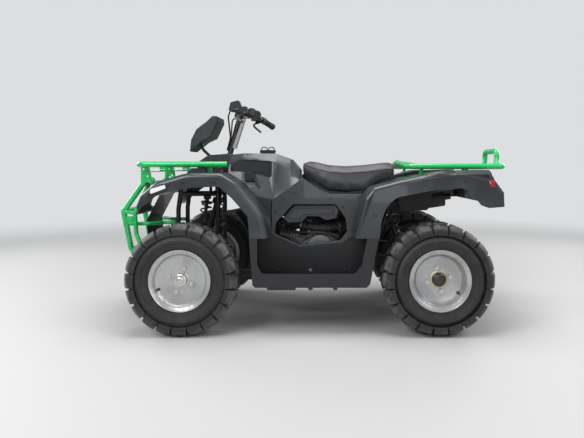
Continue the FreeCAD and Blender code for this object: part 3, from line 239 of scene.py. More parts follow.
black_coat = Finish("black_powder_coat", coat=0.15)
grime = black_coat.ramp(black_coat.upward() * 0.6 + black_coat.noise(14) * 0.8, 0.55, 1.15)
black_coat.tint(grime, (0.016, 0.016, 0.018), (0.075, 0.072, 0.068))
black_coat.feed("Roughness", grime * 0.35 + 0.34)
black_coat.bump(black_coat.noise(420, 2), 0.0004, 0.25)
for name in ("lower_frame", "upper_frame", "front_subframe", "swingarm", "wishbones_left", "wishbones_right"):
    smooth_copy(name, black_coat)

# Dampers: a black tube and rod between rubber-bushed eyes, with one coil of spring wire wound round them
# between two cups. Bolted through the eyes: one to each front arm, one between frame and swinging arm.
spring_enamel = Finish("spring_enamel", (0.022, 0.022, 0.024), 0.30, coat=0.4)
spring_enamel.bump(spring_enamel.noise(300, 2), 0.0003, 0.2)


def piece_from(name, shell, finish, body, sharp=40):
    """A finished piece from a bmesh, shaded smooth up to an edge angle in degrees, riding on a body."""
    bmesh.ops.recalc_face_normals(shell, faces=shell.faces)
    mesh = bpy.data.meshes.new(name)
    shell.to_mesh(mesh)
    shell.free()
    mesh.materials.append(finish.material)
    mesh.shade_smooth()
    mesh.set_sharp_from_angle(angle=math.radians(sharp))
    piece = bpy.data.objects.new(name, mesh)
    scene.collection.objects.link(piece)
    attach(piece, body)
    return piece


def set_down(shell, form, place=Matrix()):
    """Adds a small form to a shell, at the place that a matrix gives."""
    bmesh.ops.transform(form, matrix=place, verts=form.verts)
    form_mesh = bpy.data.meshes.new("form")
    form.to_mesh(form_mesh)
    form.free()
    shell.from_mesh(form_mesh)
    bpy.data.meshes.remove(form_mesh)


def facing(start, way):
    """The matrix that sets a form down at start and turns its Z to a way."""
    return Matrix.Translation(Vector(start)) @ Vector(way).to_track_quat("Z", "Y").to_matrix().to_4x4()


def turned(shell, rows, place, steps=48):
    """Adds a closed form turned about Z from (radius, height) rows, set down by a matrix."""
    form = bmesh.new()
    points = [form.verts.new((radius, 0, height)) for radius, height in rows]
    for pair in zip(points, points[1:]):
        form.edges.new(pair)
    if rows[0][0] > 0 and rows[-1][0] > 0:
        form.edges.new((points[-1], points[0]))
    bmesh.ops.spin(form, geom=form.verts[:] + form.edges[:], cent=(0, 0, 0), axis=(0, 0, 1),
                   angle=2 * math.pi, steps=steps, use_merge=True)
    bmesh.ops.remove_doubles(form, verts=form.verts, dist=0.00001)
    set_down(shell, form, place)


# The coil starts and ends this far from the eyes. The list gives each damper's lower and upper eye.
COIL_FOOT, COIL_HEAD, WIRE_R, STEPS_A_TURN = 0.036, 0.040, 0.0042, 26
for name, foot, top, cup_r, turns in (
        ("front_damper_left", (-0.572, -0.262, 0.231), (-0.545, -0.160, 0.632), 0.030, 9),
        ("front_damper_right", (-0.572, 0.262, 0.231), (-0.545, 0.160, 0.632), 0.030, 9),
        ("rear_damper", (0.495, 0, 0.318), (0.400, 0, 0.590), 0.034, 7)):
    axis = Vector(top) - Vector(foot)
    long = axis.length
    shell = bmesh.new()
    turned(shell, [(0, 0.004), (0.009, 0.004), (0.010, 0.026), (cup_r, 0.028), (cup_r, 0.033), (0.020, 0.036),
                   (0.020, long * 0.62), (0.018, long * 0.63), (0.009, long * 0.63), (0.009, long - 0.040),
                   (cup_r - 0.006, long - 0.038), (cup_r, long - 0.034), (cup_r, long - 0.028),
                   (0.011, long - 0.025), (0.010, long - 0.004), (0, long - 0.004)], facing(foot, axis))
    for eye in (foot, top):
        turned(shell, [(0, -0.012), (0.0115, -0.012), (0.013, -0.0105), (0.013, 0.0105), (0.0115, 0.012),
                       (0, 0.012)], facing(eye, (0, 1, 0) if name == "rear_damper" else (1, 0, 0)), 32)
    tube = piece_from(name + "_body", shell, spring_enamel, body_of(name))
    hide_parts(name)
    coil = bmesh.new()
    bmesh.ops.create_circle(coil, segments=10, radius=WIRE_R, matrix=Matrix.Translation(
        (cup_r - 0.0045, 0, COIL_FOOT)) @ Matrix.Rotation(math.pi / 2, 4, "X"))
    steps = STEPS_A_TURN * turns
    rise = (long - COIL_FOOT - COIL_HEAD) / steps
    bmesh.ops.spin(coil, geom=coil.verts[:] + coil.edges[:], cent=(0, 0, 0), axis=(0, 0, 1),
                   angle=2 * math.pi * turns, steps=steps, dvec=(0, 0, rise))
    bmesh.ops.holes_fill(coil, edges=coil.edges[:])
    bmesh.ops.transform(coil, matrix=facing(foot, axis), verts=coil.verts)
    piece_from(name + "_spring", coil, spring_enamel, body_of(name))

# Engine: sand-cast aluminium cases, oily in places, hung in the frame. A domed cover on each side is
# held by eight small six-sided screws; the left one has a raised middle.
cast_alloy = Finish("cast_engine_alloy", metal=0.85)
sand = cast_alloy.noise(260, 5, 0.7)
oil = cast_alloy.ramp(cast_alloy.noise(9, 3), 0.45, 0.72)
cast_alloy.tint(oil, (0.27, 0.28, 0.29), (0.10, 0.098, 0.092))
cast_alloy.feed("Roughness", sand * 0.25 + 0.36)
cast_alloy.bump(sand, 0.0008, 0.5)
smooth_copy("engine", cast_alloy, 0.0015)
SCREW = [(0, 0.0045), (0.0038, 0.0045), (0.0048, 0.0034), (0.0048, 0.0006), (0.0068, 0.0006),
         (0.0068, -0.0004), (0, -0.0004)]
cover_screws = bmesh.new()
# Each cover's middle, and the radius of the circle that its screws lie on.
for x, y, z, circle_r in ((0.043, -0.1678, 0.365, 0.0585), (0.024, 0.1358, 0.340, 0.0615)):
    for k in range(8):
        angle = math.radians(22 + 45 * k)
        spot = (x + circle_r * math.cos(angle), y, z + circle_r * math.sin(angle))
        turned(cover_screws, SCREW, facing(spot, (0, y, 0)), 6)
cover = facing((0.043, -0.168, 0.365), (0, -1, 0))
turned(cover_screws, [(0, 0.0070), (0.020, 0.0066), (0.026, 0.0040), (0.028, 0), (0, 0)], cover, 40)
turned(cover_screws, [(0.036, 0), (0.038, 0.0024), (0.041, 0.0024), (0.043, 0)], cover)
piece_from("engine_cover_screws", cover_screws, cast_alloy, body_of("engine"))

# Intake: a cast carburettor over the cylinder, with its float bowl below, its round cap above and a
# solenoid on its left. It is clamped between two ribbed rubber boots, to the head and to the air box.
carburettor = bmesh.new()
turned(carburettor, [(0, 0), (0.024, 0), (0.024, 0.010), (0.020, 0.012), (0.020, 0.026), (0.027, 0.030),
                     (0.027, 0.070), (0.020, 0.074), (0.020, 0.090), (0.025, 0.092), (0.025, 0.104),
                     (0, 0.104)], facing((-0.100, 0, 0.462), (0.100, 0, 0.018)), 40)
turned(carburettor, [(0, 0), (0.018, 0), (0.021, 0.004), (0.021, 0.030), (0.024, 0.031), (0.024, 0.036),
                     (0, 0.036)], facing((-0.050, 0, 0.414), (0, 0, 1)), 32)
turned(carburettor, [(0, 0), (0.024, 0), (0.024, 0.006), (0.020, 0.008), (0.019, 0.036), (0.015, 0.041),
                     (0.006, 0.043), (0.005, 0.050), (0, 0.050)], facing((-0.052, 0, 0.490), (0, 0, 1)), 32)
turned(carburettor, [(0, 0), (0.014, 0), (0.016, 0.003), (0.016, 0.020), (0.013, 0.024), (0, 0.024)],
       facing((-0.046, -0.024, 0.470), (0, -1, 0)), 28)
piece_from("carburettor", carburettor, cast_alloy, body_of("engine"))
hose_rubber = Finish("hose_rubber")
bloom = hose_rubber.noise(45, 4)
hose_rubber.tint(bloom, (0.014, 0.014, 0.015), (0.045, 0.044, 0.043))
hose_rubber.feed("Roughness", bloom * 0.2 + 0.40)
hose_rubber.bump(hose_rubber.noise(500, 2), 0.0003, 0.3)


def drawn(holder):
    """The mesh that a curve's object shows."""
    return bpy.data.meshes.new_from_object(holder.evaluated_get(bpy.context.evaluated_depsgraph_get()))


def hose(shell, points, radius, pitch=0.0, ridge=0.0):
    """Adds a round hose that bends along its control points, with ridges at a pitch where it is ribbed."""
    curve = bpy.data.curves.new("hose", "CURVE")
    curve.dimensions = "3D"
    curve.use_fill_caps = True
    strand = curve.splines.new("NURBS")
    strand.points.add(len(points) - 1)
    for entry, point in zip(strand.points, points):
        entry.co = (*point, 1)
    strand.order_u = 3
    strand.use_endpoint_u = True
    strand.resolution_u = 10
    holder = bpy.data.objects.new("hose", curve)
    scene.collection.objects.link(holder)
    course = [vert.co.copy() for vert in drawn(holder).vertices]
    curve.bevel_depth = radius
    curve.bevel_resolution = 4
    shell.from_mesh(drawn(holder))
    bpy.data.objects.remove(holder)
    rib = [(radius - 0.001, -pitch * 0.32), (radius + ridge, -pitch * 0.16), (radius + ridge, pitch * 0.16),
           (radius - 0.001, pitch * 0.32)]
    gone, due = 0.0, pitch
    for here, there in zip(course, course[1:]):
        step = (there - here).length
        while pitch and step > 0 and due <= gone + step:
            turned(shell, rib, facing(here.lerp(there, (due - gone) / step), there - here), 28)
            due += pitch
        gone += step


# The boots and the air box's neck, then the cooling duct, and the hoses and wiring that fill the window
# in the side panel. All are rubber, pushed over their stubs; the wide ones are held by worm clamps.
hoses = bmesh.new()
hose(hoses, [(-0.098, 0, 0.462), (-0.122, 0, 0.458), (-0.142, 0, 0.436), (-0.146, 0, 0.418)],
     0.021, 0.008, 0.002)
hose(hoses, [(-0.006, 0, 0.480), (0.040, 0, 0.488), (0.090, 0, 0.500), (0.150, 0, 0.520)],
     0.027, 0.013, 0.003)
turned(hoses, [(0, 0), (0.038, 0), (0.050, 0.010), (0.052, 0.070), (0.044, 0.080), (0, 0.080)],
       facing((0.142, 0, 0.517), (0.100, 0, 0.028)), 36)
hose(hoses, [(-0.150, -0.090, 0.498), (-0.096, -0.126, 0.494), (-0.030, -0.150, 0.476),
             (0.050, -0.150, 0.464), (0.118, -0.142, 0.468), (0.168, -0.110, 0.490)], 0.023, 0.0125, 0.0034)
for radius, points in (
        (0.0065, [(-0.180, -0.100, 0.470), (-0.120, -0.128, 0.450), (-0.060, -0.150, 0.442),
                  (0.000, -0.178, 0.446), (0.060, -0.184, 0.448), (0.130, -0.176, 0.420),
                  (0.170, -0.120, 0.380)]),
        (0.0080, [(-0.190, -0.080, 0.420), (-0.130, -0.140, 0.412), (-0.080, -0.158, 0.396),
                  (-0.040, -0.150, 0.352), (-0.060, -0.112, 0.320)]),
        (0.0045, [(-0.180, -0.060, 0.540), (-0.110, -0.060, 0.512), (-0.040, -0.072, 0.520),
                  (0.050, -0.078, 0.498), (0.120, -0.076, 0.470), (0.150, -0.072, 0.420)]),
        (0.0055, [(0.148, -0.030, 0.395), (0.152, -0.120, 0.420), (0.150, -0.168, 0.450),
                  (0.120, -0.176, 0.485), (0.090, -0.120, 0.500)]),
        (0.0040, [(-0.050, -0.046, 0.470), (-0.060, -0.110, 0.470), (-0.100, -0.118, 0.500),
                  (-0.160, -0.090, 0.548)]),
        (0.0075, [(-0.180, 0.080, 0.470), (-0.060, 0.140, 0.440), (0.040, 0.150, 0.446),
                  (0.130, 0.120, 0.420), (0.158, 0.090, 0.380)]),
        (0.0055, [(-0.180, 0.060, 0.520), (-0.080, 0.080, 0.500), (0.020, 0.082, 0.504),
                  (0.140, 0.070, 0.480), (0.160, 0.060, 0.400)])):
    hose(hoses, points, radius)
piece_from("intake_hoses", hoses, hose_rubber, body_of("engine"), 50)
clamps = bmesh.new()
for spot, way, radius in (
        ((-0.004, 0, 0.4805), (1, 0, 0.17), 0.0285), ((0.136, 0, 0.5155), (1, 0, 0.33), 0.0285),
        ((-0.100, 0, 0.4625), (-1, 0, -0.1), 0.0235), ((-0.052, -0.1445, 0.4815), (1, -0.2, -0.22), 0.0248),
        ((0.136, -0.132, 0.4755), (1, 0.45, 0.3), 0.0248)):
    outside = radius + 0.0016
    turned(clamps, [(radius, -0.0045), (outside, -0.0045), (outside, 0.0045), (radius, 0.0045)],
           facing(spot, way), 36)
piece_from("hose_clamps", clamps, cast_alloy, body_of("engine"))

# Exhaust: steel pipe and silencer in heat-proof black paint, browned in patches, bolted to the head and
# hung from the frame on the right.
hot_black = Finish("heat_proof_black", roughness=0.52)
hot_black.tint(hot_black.noise(24, 4), (0.012, 0.012, 0.013), (0.060, 0.045, 0.034))
hot_black.bump(hot_black.noise(200, 3), 0.0003, 0.3)
smooth_copy("exhaust", hot_black)

# Drive chain: hardened steel, dark with oil. Wide and narrow pairs of plates in turn, riveted on one pin
# pitch, lie round the gearbox's small sprocket and the rear axle's large one.
AXLE_X, AXLE_Z = 0.600, 0.260      # both axles, fore and aft of the middle
CHAIN_Y, PIN_PITCH = 0.150, 0.0159
oiled_steel = Finish("oiled_chain_steel", roughness=0.36, metal=0.9)
oiled_steel.tint(oiled_steel.noise(120), (0.07, 0.065, 0.06), (0.26, 0.25, 0.235))
large, large_r = Vector((AXLE_X, AXLE_Z)), 0.0865
small, small_r = Vector((0.122, 0.345)), 0.0345
away = large - small
tilt = math.atan2(away.y, away.x)
lean = math.asin((large_r - small_r) / away.length)
upper, lower = tilt + math.pi / 2 + lean, tilt - math.pi / 2 - lean


def arc(middle, radius, start, end, steps):
    """Points on a sprocket's pitch circle from one angle to another."""
    angles = [start + (end - start) * k / steps for k in range(steps + 1)]
    return [middle + radius * Vector((math.cos(angle), math.sin(angle))) for angle in angles]


course = arc(small, small_r, lower, upper - 2 * math.pi, 24) + arc(large, large_r, upper, lower, 48)
course.append(course[0])
reach = [0.0]
for here, there in zip(course, course[1:]):
    reach.append(reach[-1] + (there - here).length)
link_count = round(reach[-1] / PIN_PITCH / 2) * 2


def pin(k):
    """Where the chain's pin number k lies, in X and Z."""
    distance = reach[-1] * k / link_count % reach[-1]
    step = next(n for n in range(len(course) - 1) if reach[n + 1] >= distance)
    share = (distance - reach[step]) / max(reach[step + 1] - reach[step], 1e-9)
    return course[step].lerp(course[step + 1], share)


links = bmesh.new()
for k in range(link_count):
    start, end = pin(k), pin(k + 1)
    middle, heading = (start + end) / 2, math.atan2((end - start).y, (end - start).x)
    out = 0.0052 if k % 2 else 0.0034
    for plate_y in (CHAIN_Y - out, CHAIN_Y + out):
        link = bmesh.new()
        bmesh.ops.create_cube(link, size=1.0)
        bmesh.ops.scale(link, vec=(PIN_PITCH + 0.0070, 0.0012, 0.0084), verts=link.verts)
        corners = [e for e in link.edges if abs((e.verts[0].co - e.verts[1].co).y) > 0.001]
        bmesh.ops.bevel(link, geom=corners, offset=0.0034, segments=2, profile=0.5, affect="EDGES",
                        material=-1)
        place = Matrix.Translation((middle.x, plate_y, middle.y))
        set_down(links, link, place @ Matrix.Rotation(-heading, 4, "Y"))
    turned(links, [(0, -0.0058), (0.0030, -0.0058), (0.0030, 0.0058), (0, 0.0058)],
           facing((start.x, CHAIN_Y, start.y), (0, 1, 0)), 8)
chain = piece_from("chain_links", links, oiled_steel, body_of("drive_chain"))
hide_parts("drive_chain")

# Axle, hubs, knuckles and track rods: turned and pressed steel, zinc-plated. Over each rear hub nut sits
# a black plastic cap in a yellow-passivated ring; the front hubs have a bright ring and a pressed cap.
SIDES = {"left": -1, "right": 1}
zinc = Finish("zinc_plated_steel", metal=0.95)
bloom = zinc.noise(60, 4)
zinc.tint(bloom, (0.50, 0.50, 0.49), (0.68, 0.67, 0.64))
zinc.feed("Roughness", bloom * 0.2 + 0.26)
smooth_copy("rear_axle", zinc, 0.0006)
for side in SIDES:
    for kind in ("front_hub_", "knuckle_", "tie_rod_"):
        smooth_copy(kind + side, zinc, 0.0006)
black_cap = Finish("black_cap", (0.020, 0.020, 0.021), 0.34, coat=0.2)
black_cap.bump(black_cap.noise(600, 2), 0.0002, 0.2)
yellow_zinc = Finish("yellow_zinc", roughness=0.32, metal=0.9)
yellow_zinc.tint(yellow_zinc.noise(90), (0.50, 0.46, 0.33), (0.60, 0.52, 0.30))
for side, hand in SIDES.items():
    rear_face = facing((AXLE_X, hand * 0.464, AXLE_Z), (0, hand, 0))
    front_face = facing((-AXLE_X, hand * 0.492, AXLE_Z), (0, hand, 0))
    cap = bmesh.new()
    turned(cap, [(0, 0.0275), (0.022, 0.0272), (0.0285, 0.0245), (0.0325, 0.019), (0.0325, 0.006),
                 (0.0303, 0.006), (0.0303, 0.002), (0, 0.002)], rear_face)
    piece_from("rear_cap_" + side, cap, black_cap, body_of("rear_axle"))
    ring = bmesh.new()
    turned(ring, [(0.0326, 0.0030), (0.0425, 0.0030), (0.0425, 0.0070), (0.0400, 0.0086), (0.0326, 0.0086)],
           rear_face)
    piece_from("rear_cap_ring_" + side, ring, yellow_zinc, body_of("rear_axle"))
    ring = bmesh.new()
    turned(ring, [(0.0325, -0.0020), (0.0405, -0.0020), (0.0405, 0.0030), (0.0392, 0.0042), (0.0325, 0.0042)],
           front_face)
    turned(ring, [(0, 0.0176), (0.0095, 0.0172), (0.0145, 0.0156), (0.0162, 0.0136), (0.0162, 0.0100),
                  (0, 0.0100)], front_face)
    piece_from("front_hub_ring_" + side, ring, zinc, body_of("front_hub_" + side))

# Wheels: rims of pressed steel in silver paint with a faint grain, held by four nuts. A black rubber
# valve is pulled through each rim's well, near its edge.
ENDS = {"front": (-AXLE_X, 0.440), "rear": (AXLE_X, 0.405)}      # each axle's x, and half its track
WHEELS = [(end, side, hand, Vector((axle_x, hand * half_track, AXLE_Z)))
          for end, (axle_x, half_track) in ENDS.items() for side, hand in SIDES.items()]
silver_paint = Finish("silver_wheel_paint", metal=0.65, coat=0.4)
flake = silver_paint.noise(900, 2)
film = silver_paint.ramp(silver_paint.noise(11, 4), 0.42, 0.75)
silver_paint.tint(film, (0.46, 0.47, 0.48), (0.36, 0.355, 0.34))
silver_paint.feed("Roughness", film * 0.15 + flake * 0.12 + 0.22)
silver_paint.bump(flake, 0.0001, 0.15)
valve_rubber = Finish("valve_rubber", (0.020, 0.020, 0.020), 0.6)
valve_rubber.bump(valve_rubber.noise(800, 2), 0.0002, 0.3)
for side in SIDES:
    for end in ENDS:
        smooth_copy(end + "_rim_" + side, silver_paint, 0.0008)
VALVE_CIRCLE_R = 0.109
for end, side, hand, middle in WHEELS:
    angle, seat_y = (math.radians(202.5), 0.0545) if end == "front" else (math.radians(-35), 0.0660)
    out_to = Vector((VALVE_CIRCLE_R * math.cos(angle), hand * seat_y, VALVE_CIRCLE_R * math.sin(angle)))
    valve = bmesh.new()
    turned(valve, [(0, -0.004), (0.0075, -0.004), (0.0075, 0.002), (0.0045, 0.004), (0.0040, 0.011),
                   (0.0050, 0.0115), (0.0050, 0.0165), (0.0040, 0.0178), (0, 0.018)],
           facing(middle + out_to, (0, hand, 0)), 20)
    piece_from("valve_" + end + "_" + side, valve, valve_rubber, body_of(end + "_rim_" + side))

# Tyres: black rubber moulded with two rows of blocks, seated on the rims. The sidewalls are dusty and
# carry three raised rings by the bead; the blocks are painted paler at the tread, partly as scuffs where
# they touch the ground and partly as a painted highlight.
tyre_rubber = Finish("knobbly_tyre_rubber")
dust = tyre_rubber.ramp(tyre_rubber.noise(16, 6, 0.65), 0.40, 0.78)
lengthwise = tyre_rubber.node("SeparateXYZ", Vector=tyre_rubber.place)
ahead = tyre_rubber.node("Math", {"operation": "ABSOLUTE"}, n0=lengthwise) - AXLE_X
above = tyre_rubber.node("SeparateXYZ", outlet=2, Vector=tyre_rubber.place) - AXLE_Z
from_axle = (ahead * ahead + above * above) ** 0.5
# Paler, slightly blue patches on the tread's outer faces: partly scuffing from the ground, partly a painted
# highlight on the blocks.
wear_and_highlight_patches = tyre_rubber.ramp(tyre_rubber.noise(22, 6, 0.75), 0.36, 0.60)
scuff_and_highlight = tyre_rubber.ramp(from_axle, 0.226, 0.258) * wear_and_highlight_patches
dusty = tyre_rubber.between(dust, (0.012, 0.0125, 0.0135), (0.034, 0.034, 0.035))
tyre_rubber.tint(scuff_and_highlight, dusty, (0.130, 0.130, 0.135))
tyre_rubber.feed("Roughness", dust * 0.2 + 0.58)
tyre_rubber.bump(tyre_rubber.noise(340, 4, 0.7), 0.0006, 0.35)
for side in SIDES:
    for end in ENDS:
        smooth_copy(end + "_tyre_" + side, tyre_rubber, 0.0022)
for end, side, hand, middle in WHEELS:
    half_width = 0.090 if end == "front" else 0.125
    for inner in (-1, 1):
        rings = bmesh.new()
        for inset, ring_r, size in (
                (0.0148, 0.1535, 0.0022), (0.0112, 0.1620, 0.0014), (0.0042, 0.1785, 0.0022)):
            eighths = [math.radians(45 * k) for k in range(8)]
            rows = [(ring_r + size * 1.3 * math.cos(angle), half_width - inset + size * math.sin(angle))
                    for angle in eighths]
            turned(rings, rows, facing(middle, (0, inner, 0)), 96)
        piece_from("bead_rings_%s_%s_%s" % (end, side, "out" if inner == hand else "in"), rings, tyre_rubber,
                   body_of(end + "_tyre_" + side), 60)

# Racks and front guard: steel tube under bright green gloss powder coat, bolted to the frame. Each thin
# tube ends on its rail in a weld bead, painted over.
RACK_RAIL_Y, FRONT_RACK_Z, REAR_RACK_Z = 0.3165, 0.798, 0.788
green_coat = Finish("green_powder_coat", coat=0.5)
faded = green_coat.ramp(green_coat.noise(30, 5), 0.35, 0.8)
grain = green_coat.noise(380, 2)
green_coat.tint(faded, (0.010, 0.50, 0.125), (0.008, 0.38, 0.095))
green_coat.feed("Roughness", grain * 0.12 + 0.20)
green_coat.bump(grain, 0.0003, 0.2)
for name in ("front_rack", "front_bumper", "rear_rack"):
    smooth_copy(name, green_coat)
# A rung ends on both side rails at its x, and a bar on the end rail, rail_x, at its y.
for rack, z, rungs, rail_x, way_x, bars in (
        ("front_rack", FRONT_RACK_Z, (-0.700, -0.540), -0.8425, 1, (-0.165, 0.0, 0.165)),
        ("rear_rack", REAR_RACK_Z, (0.6201, 0.7794), 0.9675, -1, (-0.1, 0.0, 0.1))):
    beads = bmesh.new()
    ends = [(x, hand * RACK_RAIL_Y, (0, -hand, 0), 0.0092) for x in rungs for hand in (-1, 1)]
    ends += [(rail_x, y, (way_x, 0, 0), 0.0102) for y in bars]
    for x, y, way, tube_r in ends:
        turned(beads, [(tube_r - 0.002, -0.0024), (tube_r + 0.0026, -0.0020), (tube_r + 0.0020, 0.0006),
                       (tube_r - 0.002, 0.0022)], facing((x, y, z), way), 24)
    piece_from(rack + "_welds", beads, green_coat, body_of(rack), 60)

# Fittings of the green steelwork: zinc bolts go through the front rack's two gussets, and black plastic
# plugs are pushed into the open ends of the guard's side stubs.
bolts, plugs = bmesh.new(), bmesh.new()
for hand in (-1, 1):
    turned(bolts, [(0.0052, 0), (0.0062, 0), (0.0062, 0.052), (0.0052, 0.052)],
           facing((-0.824, hand * 0.230, 0.766), (1, 0, 0)), 20)
    turned(plugs, [(0, 0.0004), (0.0135, 0.0004), (0.0135, 0.0022), (0.0115, 0.0042), (0, 0.0048)],
           facing((-0.826, hand * 0.260, 0.697), (0.006, hand * 0.095, -0.021)), 28)
piece_from("gusset_bolts", bolts, zinc, body_of("front_rack"))
piece_from("stub_plugs", plugs, black_cap, body_of("front_bumper"))

# Bodywork: fenders, cowl, deck, side panels, tank cover, lamp pod and air box cover, of dark grey
# plastic moulded with a satin face and rounded edges, screwed to the frame and to each other.
satin_body = Finish("satin_grey_plastic", coat=0.25)
speckle = satin_body.noise(1300, 2)
haze = satin_body.ramp(satin_body.noise(7, 5, 0.6), 0.38, 0.8)
satin_body.tint(haze, (0.022, 0.026, 0.031), (0.042, 0.048, 0.055))
satin_body.feed("Roughness", haze * 0.12 + speckle * 0.1 + 0.28)
satin_body.bump(speckle, 0.00012, 0.25)
for side in SIDES:
    for kind in ("front_fender_", "rear_fender_", "side_panel_"):
        smooth_copy(kind + side, satin_body, 0.0025)
for name in ("front_cowl", "rear_deck"):
    smooth_copy(name, satin_body, 0.001)
tank_skin = smooth_copy("tank_cover", satin_body, 0.003)
pod_skin = smooth_copy("headlamp_pod", satin_body, 0.003)
smooth_copy("airbox_cover", satin_body, 0.003)

# Footwells, liners and small housings: coarse black plastic straight from the mould, trodden grey where
# it faces up. The tank cover's knee recesses and the back of the lamp pod are of the same plastic.
coarse_black = Finish("coarse_black_plastic", roughness=0.50)
trodden = coarse_black.ramp(coarse_black.upward() + coarse_black.noise(20, 5) * 0.5, 0.9, 1.4)
coarse_black.tint(trodden, (0.010, 0.011, 0.013), (0.042, 0.041, 0.040))
coarse_black.bump(coarse_black.noise(700, 3), 0.0004, 0.4)
for side in SIDES:
    smooth_copy("footboard_" + side, coarse_black, 0.0015)
for name in ("inner_guards", "rear_box", "instrument", "levers", "fuel_cap", "gear_lever"):
    smooth_copy(name, coarse_black, 0.0008)
KNEE_Y, KNEE_TOP_Z = 0.1495, 0.83


def in_knee_recess(face):
    return abs(face.normal.y) > 0.85 and abs(face.center.y) < KNEE_Y and face.center.z < KNEE_TOP_Z


def on_pod_back(face):
    return face.normal.x > 0.45 or face.normal.z < -0.25


for skin, is_black in ((tank_skin, in_knee_recess), (pod_skin, on_pod_back)):
    skin.data.materials.append(coarse_black.material)
    for face in skin.data.polygons:
        if is_black(face):
            face.material_index = 1

# Fuel cap: moulded black, screwed on to the tank's neck, with 28 ribs round its rim and two finger
# loops of bent alloy rod.
cap_low, cap_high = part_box("fuel_cap")
cap_x, cap_r, cap_top = (cap_low[0] + cap_high[0]) / 2, (cap_high[0] - cap_low[0]) / 2, cap_high[2]
CAP_RIBS = 28
LOOP_BENDS = ((-0.015, -0.003), (-0.016, 0.010), (-0.009, 0.017), (0.009, 0.017), (0.016, 0.010),
              (0.015, -0.003))
cap_ribs, cap_loops = bmesh.new(), bmesh.new()
for k in range(CAP_RIBS):
    angle = 2 * math.pi * k / CAP_RIBS
    turned(cap_ribs, [(0, 0), (0.0022, 0), (0.0022, 0.010), (0, 0.0115)],
           facing((cap_x + cap_r * math.cos(angle), cap_r * math.sin(angle), cap_top - 0.0125), (0, 0, 1)), 8)
piece_from("fuel_cap_ribs", cap_ribs, coarse_black, body_of("fuel_cap"))
for hand in (-1, 1):
    loop_x = cap_x + hand * cap_r * 0.47
    hose(cap_loops, [(loop_x + x, 0, cap_top + z) for x, z in LOOP_BENDS], 0.0036)
piece_from("fuel_cap_loops", cap_loops, cast_alloy, body_of("fuel_cap"))

# Meter: a domed dark glass in a bright zinc ring, set into the sloping face of the housing on the
# handlebar clamps. Its face stays blank.
glass_paint = Finish("meter_glass", (0.010, 0.012, 0.014), coat=1.0)
glass_paint.feed("Roughness", glass_paint.noise(30) * 0.06 + 0.03)
meter_glass, meter_ring = bmesh.new(), bmesh.new()
meter_face = facing((-0.3916, 0, 1.1270), (0.0920, 0, 0.0392))
turned(meter_glass, [(0, 0.0024), (0.012, 0.0020), (0.0165, 0.0008), (0.0165, -0.0010), (0, -0.0010)],
       meter_face, 40)
turned(meter_ring, [(0.0162, -0.0010), (0.0162, 0.0022), (0.0176, 0.0030), (0.0194, 0.0020),
                    (0.0198, -0.0010)], meter_face, 40)
piece_from("meter_glass", meter_glass, glass_paint, body_of("instrument"))
piece_from("meter_ring", meter_ring, zinc, body_of("instrument"))

# Lamp plates: the dark moulded housings under the white strips of the front fenders, clipped to the
# fenders' outer faces.
FENDER_Y = 0.490


def set_plate(shell, outline, y, depth, ease=0.0, segments=2):
    """Adds a plate to a shell: (x, z) corners at y, grown by a depth along Y, its edges rounded."""
    form = bmesh.new()
    face = form.faces.new([form.verts.new((x, y, z)) for x, z in outline])
    grown = bmesh.ops.extrude_face_region(form, geom=[face])["geom"]
    corners = [corner for corner in grown if isinstance(corner, bmesh.types.BMVert)]
    bmesh.ops.translate(form, vec=(0, depth, 0), verts=corners)
    bmesh.ops.recalc_face_normals(form, faces=form.faces)
    if ease:
        bmesh.ops.bevel(form, geom=form.edges[:], offset=ease, segments=segments, profile=0.5, affect="EDGES",
                        material=-1)
    set_down(shell, form)


plates = bmesh.new()
for hand in (-1, 1):
    set_plate(plates, [(-0.754, 0.640), (-0.742, 0.6335), (-0.6660, 0.6790), (-0.6520, 0.7080),
                       (-0.7000, 0.7060), (-0.7520, 0.6600)],
              hand * (FENDER_Y - 0.0001), hand * 0.0032, 0.0010)
piece_from("lamp_plates", plates, coarse_black, body_of("front_fender_left"))

